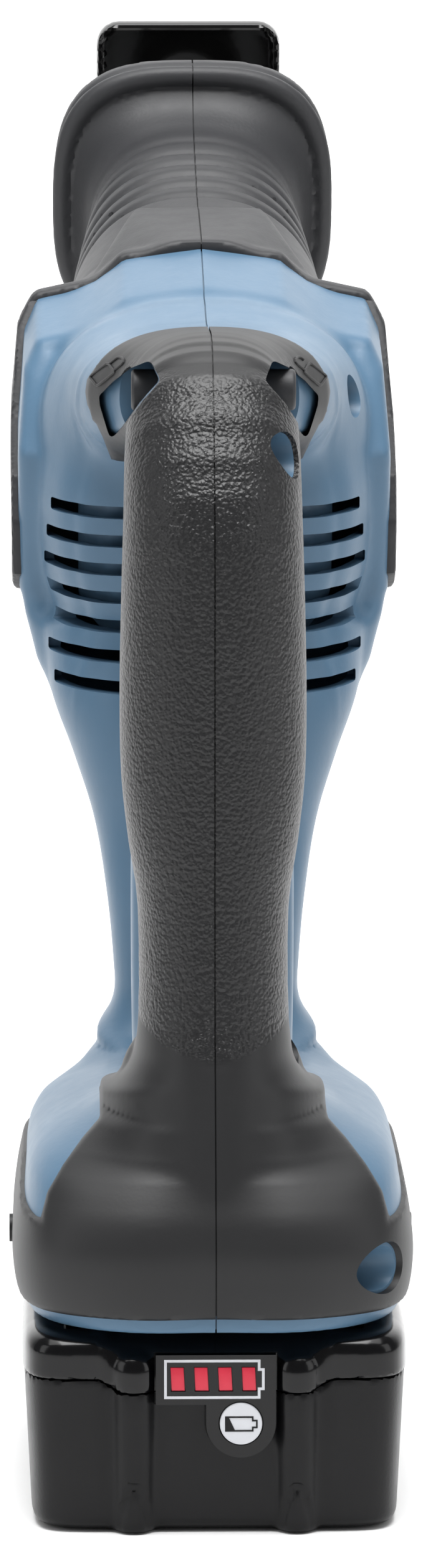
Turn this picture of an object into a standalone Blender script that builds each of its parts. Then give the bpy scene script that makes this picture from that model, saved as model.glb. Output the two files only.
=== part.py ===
"""Cordless D-handle reciprocating saw, standing upright on its battery.

Frame: +Z up, +Y forward (towards the blade end), +X to the operator's right.
The origin is the centre of the battery's flat bottom. The tool axis (the motor's) rises
forward by TOOL_TILT. Pieces along it hang from the empty "tool_frame", in whose local
coordinates x is across, y runs forward along the axis and z is square to it.
All sizes below are millimetres, and MM turns them into the scene's metres.
"""

import math

import bmesh
import bpy
from mathutils import Matrix, Vector

MM = 0.001
GAP = 0.3  # clearance between pieces that touch
SHELL_SOLVER = "MANIFOLD"  # the exact solver drops faces where these long lofts meet

# Battery
BATTERY_WIDTH = 75.0
BATTERY_LENGTH = 115.0
BATTERY_PARTING = 30.5  # height of the line between the lower and upper case
BATTERY_TOP = 39.9
TONGUE_WIDTH = 58.0
TONGUE_TOP = 57.0
TONGUE_REAR = -45.0
CASE_WALL = 1.8
CHECK_BUTTON = (4.85, 22.3)  # x and z of its centre
CELL_RADIUS = 8.6
CELL_LENGTH = 64.4
CELL_PITCH = 17.4
CELL_BOTTOM = 2.4
CELL_SIDES = 12
LAMP_PITCH = 4.6
LAMP_FIRST = -7.4
LAMP_HALF = 1.3
LAMP_BOTTOM = 28.9
LAMP_TOP = 33.3
RELEASE_LOW = (-13.0, 44.0, 43.4)
RELEASE_HIGH = (13.0, 56.5, 54.0)
CELLS_IN_ROW = 5

# Tool axis
TOOL_TILT = math.radians(13.5)
TOOL_Y = 67.5
TOOL_Z = 190.0

# Housing
WALL = 2.3
RUBBER = 1.5
SEAM = 0.15  # half of the gap between the half shells
BODY_FRONT = 60.0
SLOT_COUNT = 7
SLOT_HEIGHT = 2.7
SLOT_PITCH = 6.05
SLOT_TOP = 189.8  # height of the first slot at its outer end
SLOT_TILT = math.radians(3.0)
SLOT_Y = 57.0
SLOT_INNER = 16.0
SLOT_OUTER = 32.3
SCREW_SHANK = 1.6
SCREW_HEAD = 3.3
BOSS_RADIUS = 4.8
BOSS_SIDES = 10
RAIL_LOW = 43.4  # the housing's rail, which runs in the battery's groove
RAIL_HIGH = 46.4
LIGHT_Z = 140.0
LIGHT_RADIUS = 3.2
GRIP_SKIN_LOW = 86.0
FOOT_SKIN_LOW = 45.0
FOOT_SKIN_TOP = 70.0
FOOT_SKIN_FRONT = 40.0
PAD_LOW = (24.0, -12.0, -30.0)  # in the tool frame, right side
PAD_HIGH = (60.0, 43.0, 24.0)
# name, y and z of each housing screw, which all run across the tool
SCREWS = (
    ("grip_top", -34.0, 208.0),
    ("grip_low", -27.0, 92.0),
    ("foot_rear", -52.0, 51.0),
    ("strut", 47.0, 78.0),
    ("body_low", 84.9, 160.2),
    ("body_top", 52.8, 211.6),
)

# Motor, all along the tool axis
STATOR_RADIUS = 25.0
STATOR_BORE = 14.0
STATOR_REAR = -4.0
STATOR_FRONT = 32.0
ROTOR_RADIUS = 13.4
SHAFT_RADIUS = 3.0
SHAFT_REAR = -18.0
SHAFT_FRONT = 80.0
FAN_RADIUS = 24.0
FAN_REAR = 37.0
PINION_RADIUS = 4.5
PINION_REAR = 72.0

# Crank and plunger
CRANK_Y = 98.0
CRANK_RADIUS = 10.0  # half of the 20 mm stroke
GEAR_RADIUS = 21.0
GEAR_TOP = -PINION_RADIUS - GAP
GEAR_THICKNESS = 7.0
PLUNGER_Z = 16.0
PLUNGER_RADIUS = 7.0
PLUNGER_FRONT = 182.0
YOKE_HALF_WIDTH = 15.0
CLAMP_REAR = 181.0
CLAMP_FRONT = 203.0
NOSE = 168.0  # front end of the gear housing

# Shoe
STEM_Z = -5.8
STEM_THICKNESS = 4.4
STEM_WIDTH = 15.0
STEM_REAR = 124.0
SHOE_Y = 222.0
SHOE_WIDTH = 42.0
SHOE_TOP = 37.0
SHOE_BOTTOM = -21.0
SHOE_THICKNESS = 2.5
SHOE_PIVOT_Y = 212.0
SHOE_PIN_RADIUS = 2.0
SHOE_CORNER = 4.5
BLADE_SLOT = (5.0, 3.0, 25.5)  # half width, bottom and top
LUG_INNER = 8.0
LUG_OUTER = 10.5
LUG_HALF = 6.0

# Trigger and lock-off button
TRIGGER_BOTTOM = 167.0
TRIGGER_TOP = 201.5
TRIGGER_FRONT = 8.5
LOCK_Y = 2.0
LOCK_Z = 217.5
LOCK_RADIUS = 4.2
LOCK_RECESS_RADIUS = 8.0
LOCK_RECESS_START = 11.8

# Each station of a loft is (place along the loft, half width, top, bottom) in the tool frame.
BODY_STATIONS = (
    (-28.0, 12.0, 12.0, -16.0),
    (-25.5, 21.0, 22.0, -26.0),
    (-20.0, 27.5, 29.5, -33.5),
    (-11.0, 32.3, 35.0, -39.0),
    (-1.0, 35.0, 37.8, -42.0),
    (12.0, 36.8, 38.7, -43.0),
    (32.0, 37.8, 38.5, -41.0),
    (BODY_FRONT, 37.4, 36.2, -36.5),
)
GEARCASE_STATIONS = (
    (56.0, 32.0, 31.0, -31.0),
    (64.0, 32.0, 31.0, -31.0),
    (73.0, 29.0, 30.5, -31.0),
    (84.0, 26.5, 30.5, -31.0),
    (112.0, 25.0, 30.5, -30.0),
    (123.0, 22.0, 30.5, -13.0),
    (150.0, 20.5, 30.5, -11.5),
    (NOSE, 18.5, 29.5, -10.5),
)
BOOT_STATIONS = (
    (43.5, 39.4, 39.8, -42.0),
    (47.0, 39.9, 40.2, -42.0),
    (60.0, 39.5, 38.8, -39.6),
    (66.0, 35.6, 36.4, -36.6),
    (78.0, 30.8, 34.6, -34.6),
    (95.0, 28.6, 34.0, -34.0),
    (114.0, 27.2, 33.8, -32.6),
    (126.0, 24.9, 33.9, -17.0),
    (143.0, 23.6, 34.6, -14.6),
    (151.0, 25.6, 38.0, -16.5),
    (157.0, 29.6, 43.4, -18.2),
    (160.5, 31.2, 46.0, -19.0),
    (164.0, 31.2, 46.0, -19.0),
    (166.0, 30.0, 44.8, -18.0),
)
# Strut and foot stations are (z, y of the centre, half width, half depth).
STRUT_STATIONS = (
    (58.0, 38.0, 24.0, 18.0),
    (70.0, 43.0, 20.0, 16.5),
    (80.0, 46.5, 18.6, 15.0),
    (93.0, 48.5, 19.0, 14.5),
    (110.0, 51.5, 20.4, 15.5),
    (126.0, 57.5, 23.3, 19.5),
    (137.0, 63.0, 27.0, 25.0),
    (150.0, 70.0, 31.8, 30.0),
    (163.0, 76.0, 33.4, 31.0),
)
FOOT_STATIONS = (
    (40.3, 0.0, 36.4, 56.6),
    (43.5, 0.0, 37.6, 58.0),
    (50.0, 0.0, 38.8, 59.3),
    (58.0, 0.0, 38.4, 59.0),
    (66.0, 0.0, 36.2, 55.8),
    (72.0, 0.5, 33.6, 50.0),
    (76.5, 3.0, 26.5, 40.0),
    (80.0, 4.0, 18.0, 30.0),
)
# Grip stations are (y, z, lean of the path from upright in degrees, half width, half depth).
GRIP_STATIONS = (
    (-26.0, 56.0, 0.0, 18.0, 24.0),
    (-27.0, 74.0, 0.0, 15.6, 21.5),
    (-28.0, 94.0, 0.0, 13.6, 19.5),
    (-28.5, 119.0, 0.0, 13.0, 18.6),
    (-28.5, 142.0, 0.0, 15.0, 18.8),
    (-28.5, 177.0, 0.0, 16.4, 19.4),
    (-27.0, 197.0, -12.0, 16.2, 20.0),
    (-19.0, 211.0, -45.0, 15.8, 17.0),
    (-6.0, 216.0, -80.0, 15.2, 12.3),
    (14.0, 215.5, -90.0, 15.2, 12.4),
    (34.0, 213.6, -90.0, 21.0, 14.6),
    (60.0, 212.0, -90.0, 28.0, 17.5),
)

PARTS = bpy.data.collections.new("reciprocating_saw")
CUTTERS = bpy.data.collections.new("cutters")


# ---------------------------------------------------------------- scene helpers


def clear_scene():
    for obj in list(bpy.data.objects):
        bpy.data.objects.remove(obj, do_unlink=True)
    for collection in (PARTS, CUTTERS):
        bpy.context.scene.collection.children.link(collection)


def make_material(name, colour, roughness, metallic=0.0):
    made = bpy.data.materials.new(name)
    made.use_nodes = True
    shader = made.node_tree.nodes["Principled BSDF"]
    shader.inputs["Base Color"].default_value = (*colour, 1.0)
    shader.inputs["Roughness"].default_value = roughness
    shader.inputs["Metallic"].default_value = metallic
    made.diffuse_color = (*colour, 1.0)
    return made


def make_object(name, bm, frame=None):
    """A helper object from a bmesh in millimetres, which is freed here."""
    bmesh.ops.recalc_face_normals(bm, faces=bm.faces)
    bmesh.ops.scale(bm, vec=(MM, MM, MM), verts=bm.verts)
    mesh = bpy.data.meshes.new(name)
    bm.to_mesh(mesh)
    bm.free()
    obj = bpy.data.objects.new(name, mesh)
    CUTTERS.objects.link(obj)
    obj.hide_render = True
    obj.display_type = "WIRE"
    obj.parent = frame
    return obj


def as_node(obj, name, look):
    """Makes a helper object a part of the saw, with its own material."""
    colour, roughness, metallic = look
    CUTTERS.objects.unlink(obj)
    PARTS.objects.link(obj)
    obj.name = name
    obj.data.name = name
    obj.hide_render = False
    obj.display_type = "TEXTURED"
    obj.data.materials.clear()
    obj.data.materials.append(make_material(name, colour, roughness, metallic))
    obj.data.shade_smooth()
    obj.data.set_sharp_from_angle(angle=math.radians(35.0))
    return obj


def add_boolean(obj, other, operation, solver="EXACT"):
    modifier = obj.modifiers.new(operation.lower(), "BOOLEAN")
    modifier.object = other
    modifier.operation = operation
    modifier.solver = solver


def bake(obj):
    """Puts the result of the object's modifiers in its mesh."""
    bpy.context.view_layer.update()
    graph = bpy.context.evaluated_depsgraph_get()
    mesh = bpy.data.meshes.new_from_object(obj.evaluated_get(graph))
    obj.modifiers.clear()
    obj.data = mesh


def combine(obj, operation, others, solver="EXACT"):
    """Cuts, joins or crosses obj with the others, which are used up."""
    for other in others:
        add_boolean(obj, other, operation, solver)
        bake(obj)
        bpy.data.objects.remove(other, do_unlink=True)
    return obj


def cut(obj, *others):
    return combine(obj, "DIFFERENCE", others)


def join(obj, *others):
    return combine(obj, "UNION", others)


def cut_shell(obj, *others):
    return combine(obj, "DIFFERENCE", others, SHELL_SOLVER)


def join_shell(obj, *others):
    return combine(obj, "UNION", others, SHELL_SOLVER)


def cross_shell(obj, *others):
    return combine(obj, "INTERSECT", others, SHELL_SOLVER)


def trim(obj, other, operation):
    """Like the three above, but keeps the other for its next use."""
    add_boolean(obj, other, operation, SHELL_SOLVER)
    bake(obj)
    return obj


# ---------------------------------------------------------------- shapes


def box(low, high, frame=None, bevel=0.0, segments=2):
    """A box between two corners. Its origin stays at the frame's."""
    bm = bmesh.new()
    bmesh.ops.create_cube(bm, size=1.0)
    size = [b - a for a, b in zip(low, high)]
    middle = [(a + b) / 2 for a, b in zip(low, high)]
    bmesh.ops.scale(bm, vec=size, verts=bm.verts)
    bmesh.ops.translate(bm, vec=middle, verts=bm.verts)
    if bevel:
        bmesh.ops.bevel(
            bm, geom=bm.edges[:], offset=bevel, segments=segments, affect="EDGES", profile=0.5
        )
    return make_object("box", bm, frame)


def rod(axis, radius, start, end, centre=(0.0, 0.0), frame=None, sides=24, tip_radius=None):
    """A cylinder or cone along "x", "y" or "z". centre holds its other two coordinates, in order."""
    bm = bmesh.new()
    bmesh.ops.create_cone(
        bm,
        cap_ends=True,
        segments=sides,
        radius1=radius,
        radius2=radius if tip_radius is None else tip_radius,
        depth=end - start,
    )
    turn = {
        "x": Matrix.Rotation(math.radians(90.0), 4, "Y"),
        "y": Matrix.Rotation(math.radians(-90.0), 4, "X"),
        "z": Matrix.Identity(4),
    }
    bmesh.ops.transform(bm, matrix=turn[axis], verts=bm.verts)
    middle = list(centre)
    middle.insert("xyz".index(axis), (start + end) / 2)
    bmesh.ops.translate(bm, vec=middle, verts=bm.verts)
    return make_object("rod", bm, frame)


def turned(profile, frame=None, location=(0.0, 0.0, 0.0), axis="y", sides=24):
    """A turned ring or solid from a profile of (radius, place along the axis)."""
    bm = bmesh.new()
    verts = [bm.verts.new((radius, 0.0, height)) for radius, height in profile]
    for start, end in zip(verts, verts[1:]):
        bm.edges.new((start, end))
    if profile[0][0] > 0.0:
        bm.edges.new((verts[-1], verts[0]))
    bmesh.ops.scale(bm, vec=(MM, MM, MM), verts=bm.verts)
    mesh = bpy.data.meshes.new("turned")
    bm.to_mesh(mesh)
    bm.free()
    obj = bpy.data.objects.new("turned", mesh)
    CUTTERS.objects.link(obj)
    obj.hide_render = True
    obj.display_type = "WIRE"
    obj.parent = frame
    obj.location = Vector(location) * MM
    if axis == "y":
        obj.rotation_euler = (math.radians(-90.0), 0.0, 0.0)
    screw = obj.modifiers.new("turn", "SCREW")
    screw.steps = sides
    screw.render_steps = sides
    screw.use_merge_vertices = True
    screw.merge_threshold = 1e-5
    bake(obj)
    return obj


def oval(half_width, half_height, power, count):
    """Points of a superellipse, where a power of 2 is an ellipse and a higher one is squarer."""
    points = []
    for i in range(count):
        angle = 2.0 * math.pi * i / count
        across = math.copysign(abs(math.cos(angle)) ** (2.0 / power), math.cos(angle))
        upward = math.copysign(abs(math.sin(angle)) ** (2.0 / power), math.sin(angle))
        points.append((half_width * across, half_height * upward))
    return points


def loft(rings, frame=None):
    """A closed solid through rings of equally many points, with a flat cap on each end."""
    bm = bmesh.new()
    loops = [[bm.verts.new(point) for point in ring] for ring in rings]
    count = len(rings[0])
    for near, far in zip(loops, loops[1:]):
        for i in range(count):
            j = (i + 1) % count
            bm.faces.new((near[i], near[j], far[j], far[i]))
    bm.faces.new(loops[0][::-1])
    bm.faces.new(loops[-1])
    return make_object("loft", bm, frame)


def axial_loft(stations, grow, frame, power=2.5, count=24, rear_move=0.0, front_move=0.0):
    """A loft along the tool axis. grow moves its sides out, and the moves shift its ends."""
    rings = []
    last = len(stations) - 1
    for i, (place, half_width, top, bottom) in enumerate(stations):
        place += front_move if i == last else rear_move
        middle = (top + bottom) / 2.0
        half_height = (top - bottom) / 2.0
        ring = oval(half_width + grow, half_height + grow, power, count)
        rings.append([(x, place, middle + z) for x, z in ring])
    return loft(rings, frame)


def upright_loft(stations, grow, power, count, bottom_move=0.0, top_move=0.0):
    rings = []
    last = len(stations) - 1
    for i, (height, middle, half_width, half_depth) in enumerate(stations):
        height += top_move if i == last else 0.0
        height += bottom_move if i == 0 else 0.0
        ring = oval(half_width + grow, half_depth + grow, power, count)
        rings.append([(x, middle + y, height) for x, y in ring])
    return loft(rings)


def grip_loft(grow, count=16):
    rings = []
    for y, z, lean, half_width, half_depth in GRIP_STATIONS:
        turn = Matrix.Rotation(math.radians(lean), 3, "X")
        ring = oval(half_width + grow, half_depth + grow, 2.4, count)
        rings.append([Vector((0.0, y, z)) + turn @ Vector((a, b, 0.0)) for a, b in ring])
    return loft(rings)


# ---------------------------------------------------------------- housing


def body_solid(frame, grow, front_move=0.0, count=24):
    return axial_loft(
        BODY_STATIONS, grow, frame, count=count, rear_move=-grow, front_move=front_move
    )


def envelope(frame, grow):
    """The housing's outer form without its openings, moved out by grow."""
    solid = upright_loft(FOOT_STATIONS, grow, 5.0, 24, top_move=grow)
    strut = upright_loft(STRUT_STATIONS, grow, 2.5, 16)
    return join_shell(solid, strut, grip_loft(grow), body_solid(frame, grow))


def cavity(frame):
    """The hollow inside the housing, with fewer sides than the outer form."""
    foot = upright_loft(FOOT_STATIONS, -WALL, 5.0, 20, bottom_move=20.0, top_move=-1.0)
    strut = upright_loft(STRUT_STATIONS, -WALL, 2.5, 12)
    body = body_solid(frame, -WALL, front_move=10.0, count=20)
    return join_shell(foot, strut, grip_loft(-WALL, 12), body)


def air_slots():
    """Cutters for the air slots in the rear dome, one on each side in every row."""
    slots = []
    for i in range(SLOT_COUNT):
        place = Vector((0.0, SLOT_Y, SLOT_TOP - SLOT_PITCH * i)) * MM
        turn = Matrix.Translation(place) @ Matrix.Rotation(SLOT_TILT, 4, "X")
        for side in (-1.0, 1.0):
            ends = sorted((SLOT_INNER * side, SLOT_OUTER * side))
            low = (ends[0], -40.0, -SLOT_HEIGHT / 2.0)
            high = (ends[1], 8.0, SLOT_HEIGHT / 2.0)
            slot = box(low, high)
            slot.data.transform(turn)
            slots.append(slot)
    return slots


def trigger_window():
    return box((-8.1, -20.0, TRIGGER_BOTTOM - 1.5), (8.1, 12.0, TRIGGER_TOP + 1.0))


def half_space(side):
    """Everything on one side of the seam: side is -1 for the left and 1 for the right."""
    ends = sorted((SEAM * side, 120.0 * side))
    return box((ends[0], -200.0, -20.0), (ends[1], 400.0, 400.0))


def screw_boss(envelope_solid, side, y, z):
    """A post that carries a housing screw, trimmed to the housing's outer form."""
    ends = sorted((SEAM * side, 45.0 * side))
    post = rod("x", BOSS_RADIUS, ends[0], ends[1], (y, z), sides=BOSS_SIDES)
    return trim(post, envelope_solid, "INTERSECT")


def screw_seat_depth(name):
    return 6.0 if name != "foot_rear" else 20.0


def make_housing(frame):
    outer = envelope(frame, 0.0)
    inner = cavity(frame)
    skin_clearance = envelope(frame, GAP)
    blue = ((0.12, 0.27, 0.38), 0.42, 0.0)
    for side, word in ((-1.0, "left"), (1.0, "right")):
        shell = outer.copy()
        shell.data = outer.data.copy()
        CUTTERS.objects.link(shell)
        trim(shell, inner, "DIFFERENCE")
        cross_shell(shell, half_space(side))
        for name, y, z in SCREWS:
            join_shell(shell, screw_boss(outer, side, y, z))
        # the slide way that the battery's tongue runs in, open at the front
        half = TONGUE_WIDTH / 2.0 + GAP
        cut_shell(shell, box((-half, TONGUE_REAR - 1.0, 30.0), (half, 90.0, TONGUE_TOP + 2.5)))
        rail = sorted(((half + 0.8) * side, (half - 2.6) * side))
        low = (rail[0], TONGUE_REAR + 1.0, RAIL_LOW)
        join_shell(shell, box(low, (rail[1], 54.0, RAIL_HIGH)))
        cut_shell(shell, trigger_window())
        cut_shell(shell, rod("x", LOCK_RADIUS + GAP, -40.0, 40.0, (LOCK_Y, LOCK_Z)))
        ends = sorted((LOCK_RECESS_START * side, 40.0 * side))
        cut_shell(shell, rod("x", LOCK_RECESS_RADIUS, ends[0], ends[1], (LOCK_Y, LOCK_Z)))
        bore = LIGHT_RADIUS + 0.4
        cut_shell(shell, rod("y", bore, 70.0, 120.0, (0.0, LIGHT_Z), sides=16))
        cut_shell(shell, *air_slots())
        for name, y, z in SCREWS:
            seat = screw_seat_depth(name)
            depth = -11.5 if name != "foot_rear" else -1.0
            cut_shell(shell, rod("x", SCREW_SHANK + GAP, depth, 60.0, (y, z), sides=8))
            if side > 0.0:
                bore = SCREW_HEAD + 1.0
                cut_shell(shell, rod("x", bore, seat, 60.0, (y, z), sides=BOSS_SIDES))
        as_node(shell, f"housing_{word}", blue)
    bpy.data.objects.remove(inner, do_unlink=True)
    bpy.data.objects.remove(outer, do_unlink=True)
    make_rubber(frame, skin_clearance)


def make_rubber(frame, core):
    """The soft skins on the grip, the foot and the sides, each a left and a right piece."""
    rubber = ((0.055, 0.056, 0.058), 0.75, 0.0)
    for side, word in ((-1.0, "left"), (1.0, "right")):
        rear = box((-60.0, -90.0, GRIP_SKIN_LOW), (60.0, -24.0, 204.0))
        join_shell(rear, box((-60.0, -90.0, 196.0), (60.0, 22.0, 260.0)))
        grip = cross_shell(grip_loft(RUBBER), rear)
        skin = trim_skin(grip, core, side)
        cut_shell(skin, trigger_window())
        cut_shell(skin, rod("x", 9.5, -60.0, 60.0, (LOCK_Y, LOCK_Z)))
        if side > 0.0:
            open_over_screws(skin, "grip_top", "grip_low")
        as_node(skin, f"grip_rubber_{word}", rubber)

        foot = upright_loft(FOOT_STATIONS, RUBBER, 5.0, 24)
        high = (60.0, FOOT_SKIN_FRONT, FOOT_SKIN_TOP)
        cross_shell(foot, box((-60.0, -90.0, FOOT_SKIN_LOW), high))
        skin = trim_skin(foot, core, side)
        if side > 0.0:
            open_over_screws(skin, "foot_rear")
        as_node(skin, f"foot_rubber_{word}", rubber)

        pad = body_solid(frame, RUBBER)
        ends = sorted((PAD_LOW[0] * side, PAD_HIGH[0] * side))
        cross_shell(pad, box((ends[0], *PAD_LOW[1:]), (ends[1], *PAD_HIGH[1:]), frame))
        skin = trim_skin(pad, core, side)
        as_node(skin, f"side_pad_{word}", rubber)
    bpy.data.objects.remove(core, do_unlink=True)


def open_over_screws(skin, *names):
    """Opens a skin over the named screws, which go in from the right."""
    for name, y, z in SCREWS:
        if name in names:
            cut_shell(skin, rod("x", SCREW_HEAD + 1.6, 0.0, 60.0, (y, z), sides=16))


def trim_skin(solid, core, side):
    trim(solid, core, "DIFFERENCE")
    return cross_shell(solid, half_space(side))


def make_screws():
    steel = ((0.30, 0.30, 0.31), 0.35, 1.0)
    for name, y, z in SCREWS:
        seat = screw_seat_depth(name) + 0.3
        tip = -9.5 if name != "foot_rear" else 3.0
        shank = rod("x", SCREW_SHANK, tip, seat + 0.5, (y, z), sides=8)
        head = rod("x", SCREW_HEAD, seat, seat + 2.2, (y, z), sides=10)
        cut(head, rod("x", 1.5, seat + 1.0, seat + 4.0, (y, z), sides=6))
        as_node(join(shank, head), f"screw_{name}", steel)


def make_boot(frame):
    rubber = ((0.075, 0.076, 0.079), 0.72, 0.0)
    solid = axial_loft(BOOT_STATIONS, 0.0, frame, power=2.3)
    cut(solid, body_solid(frame, GAP, front_move=2.0))
    bore = axial_loft(GEARCASE_STATIONS, GAP, frame, front_move=10.0)
    cut(solid, bore)
    cut(solid, box((-7.5, 126.5, -40.0), (7.5, 141.5, -8.0), frame))
    return as_node(solid, "front_boot", rubber)


# ---------------------------------------------------------------- drive


def make_motor(frame):
    steel = ((0.42, 0.42, 0.43), 0.35, 1.0)
    iron = ((0.20, 0.20, 0.21), 0.5, 1.0)
    bearing = ((0.62, 0.62, 0.63), 0.25, 1.0)
    black = ((0.03, 0.03, 0.03), 0.5, 0.0)
    stator = ring(STATOR_RADIUS, STATOR_BORE, STATOR_REAR, STATOR_FRONT, frame, 32)
    as_node(stator, "motor_stator", iron)
    core = ring(ROTOR_RADIUS, SHAFT_RADIUS + GAP, STATOR_REAR, STATOR_FRONT, frame)
    as_node(core, "rotor_core", iron)
    shaft = rod("y", SHAFT_RADIUS, SHAFT_REAR, SHAFT_FRONT, frame=frame, sides=16)
    as_node(shaft, "rotor_shaft", steel)
    as_node(ring(8.0, SHAFT_RADIUS + GAP, -16.0, -10.0, frame), "rear_rotor_bearing", bearing)
    as_node(ring(9.5, SHAFT_RADIUS + GAP, 58.0, 65.0, frame), "front_rotor_bearing", bearing)
    as_node(ring(PINION_RADIUS, SHAFT_RADIUS + GAP, PINION_REAR, 79.5, frame, 18), "pinion", steel)
    make_fan(frame, black)


def ring(outer, inner, rear, front, frame, sides=18, z=0.0):
    """A plain ring along the tool axis."""
    profile = ((outer, front), (outer, rear), (inner, rear), (inner, front))
    return turned(profile, frame, (0.0, 0.0, z), sides=sides)


def make_fan(frame, look):
    fan = ring(FAN_RADIUS, SHAFT_RADIUS + GAP, FAN_REAR + 8.0, FAN_REAR + 10.0, frame)
    join(fan, ring(8.0, SHAFT_RADIUS + GAP, FAN_REAR, FAN_REAR + 9.0, frame))
    for i in range(9):
        blade = box((6.5, FAN_REAR, -0.8), (FAN_RADIUS - 1.0, FAN_REAR + 9.0, 0.8))
        blade.data.transform(Matrix.Rotation(math.radians(40.0 * i), 4, "Y"))
        blade.parent = frame
        join(fan, blade)
    as_node(fan, "cooling_fan", look)


def make_gearcase(frame):
    metal = ((0.50, 0.51, 0.52), 0.45, 1.0)
    case = axial_loft(GEARCASE_STATIONS, 0.0, frame)
    cut(case, rod("z", 22.6, -13.4, -3.6, (0.0, CRANK_Y), frame, 32))
    cut(case, rod("z", 16.0, -60.0, -12.0, (0.0, CRANK_Y), frame, 32))
    cut(case, box((-18.0, 79.5, 3.0), (18.0, 117.0, 26.5), frame, bevel=3.0, segments=1))
    cut(case, rod("z", 16.5, -10.0, 10.0, (0.0, CRANK_Y), frame, 24))
    cut(case, rod("y", 9.8, 30.0, 66.0, (0.0, 0.0), frame))
    cut(case, rod("y", 6.2, 60.0, 84.0, (0.0, 0.0), frame))
    cut(case, rod("y", 11.0, 115.0, 131.0, (0.0, PLUNGER_Z), frame))
    cut(case, rod("y", 8.5, 120.0, 180.0, (0.0, PLUNGER_Z), frame))
    cut(case, rod("y", 11.0, 152.0, 180.0, (0.0, PLUNGER_Z), frame))
    low = STEM_Z - STEM_THICKNESS / 2.0 - 0.4
    high = STEM_Z + STEM_THICKNESS / 2.0 + 0.4
    half = STEM_WIDTH / 2.0 + 0.4
    cut(case, box((-half, 122.5, low), (half, 180.0, high), frame))
    cut(case, box((-6.4, 127.5, -40.0), (6.4, 140.5, STEM_Z), frame))
    as_node(case, "gear_housing", metal)

    cover = ((15.7, -23.4), (15.7, -26.2), (6.6, -26.2), (6.6, -22.8), (10.4, -22.8),
             (10.4, -15.8), (13.0, -15.8), (13.0, -23.4))
    plate = turned(cover, frame, (0.0, CRANK_Y, 0.0), axis="z", sides=32)
    as_node(plate, "gear_housing_cover", metal)


def make_crank(frame):
    steel = ((0.40, 0.40, 0.41), 0.35, 1.0)
    bearing = ((0.62, 0.62, 0.63), 0.25, 1.0)
    place = (0.0, CRANK_Y, 0.0)
    low = GEAR_TOP - GEAR_THICKNESS
    gear = ((GEAR_RADIUS, GEAR_TOP), (GEAR_RADIUS, low + 2.0), (GEAR_RADIUS - 4.0, low),
            (6.0 + GAP, low), (6.0 + GAP, GEAR_TOP))
    as_node(turned(gear, frame, place, axis="z", sides=32), "crank_gear", steel)
    shaft = rod("z", 6.0, -24.0, GEAR_TOP, frame=frame, sides=20)
    shaft.location = Vector(place) * MM
    as_node(shaft, "crank_shaft", steel)
    race = ((10.1, -16.0), (10.1, -22.4), (6.3, -22.4), (6.3, -16.0))
    as_node(turned(race, frame, place, axis="z"), "crank_bearing", bearing)
    pin = rod("z", 3.5, GEAR_TOP + GAP, 6.6, (CRANK_RADIUS, 0.0), frame, 16)
    pin.location = Vector(place) * MM
    as_node(pin, "crank_pin", steel)


def make_plunger(frame):
    steel = ((0.55, 0.55, 0.56), 0.25, 1.0)
    bronze = ((0.55, 0.38, 0.18), 0.4, 1.0)
    rubber = ((0.05, 0.05, 0.05), 0.8, 0.0)
    black = ((0.02, 0.02, 0.022), 0.35, 0.0)
    centre = (0.0, PLUNGER_Z)
    plunger = rod("y", PLUNGER_RADIUS, 105.5, PLUNGER_FRONT - 1.5, centre, frame)
    as_node(plunger, "plunger", steel)
    half = YOKE_HALF_WIDTH
    yoke = box((-half, CRANK_Y - 7.0, 7.0), (half, CRANK_Y + 7.0, 22.0), frame, bevel=1.0)
    cut(yoke, box((-half + 2.0, CRANK_Y - 3.9, 0.0), (half - 2.0, CRANK_Y + 3.9, 14.0), frame))
    as_node(yoke, "yoke", steel)
    inner = PLUNGER_RADIUS + 0.15
    as_node(ring(10.7, inner, 118.6, 130.6, frame, z=PLUNGER_Z), "rear_plunger_bush", bronze)
    as_node(ring(10.7, inner, 152.4, 163.0, frame, z=PLUNGER_Z), "front_plunger_bush", bronze)
    as_node(ring(10.7, inner + 0.1, 163.4, 167.6, frame, z=PLUNGER_Z), "plunger_seal", rubber)
    make_clamp(frame, steel, black)


def make_clamp(frame, steel, black):
    """The tool-free blade clamp: a slotted socket with a sprung collar that twists on it."""
    centre = (0.0, PLUNGER_Z)
    body = rod("y", 8.6, CLAMP_REAR, CLAMP_FRONT, centre, frame)
    low = (-0.9, CLAMP_FRONT - 18.0, PLUNGER_Z - 6.8)
    high = (0.9, CLAMP_FRONT + 5.0, PLUNGER_Z + 6.8)
    cut(body, box(low, high, frame))
    as_node(body, "blade_clamp_body", steel)
    sleeve = ring(13.2, 8.9, CLAMP_REAR + 3.0, CLAMP_FRONT - 2.0, frame, z=PLUNGER_Z)
    for i in range(8):
        groove = rod("y", 1.3, CLAMP_REAR, CLAMP_FRONT, (13.6, 0.0), sides=8)
        turn = Matrix.Rotation(math.radians(45.0 * i + 22.5), 4, "Y")
        groove.data.transform(Matrix.Translation((0.0, 0.0, PLUNGER_Z * MM)) @ turn)
        groove.parent = frame
        cut(sleeve, groove)
    as_node(sleeve, "blade_clamp_sleeve", black)


# ---------------------------------------------------------------- shoe


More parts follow.
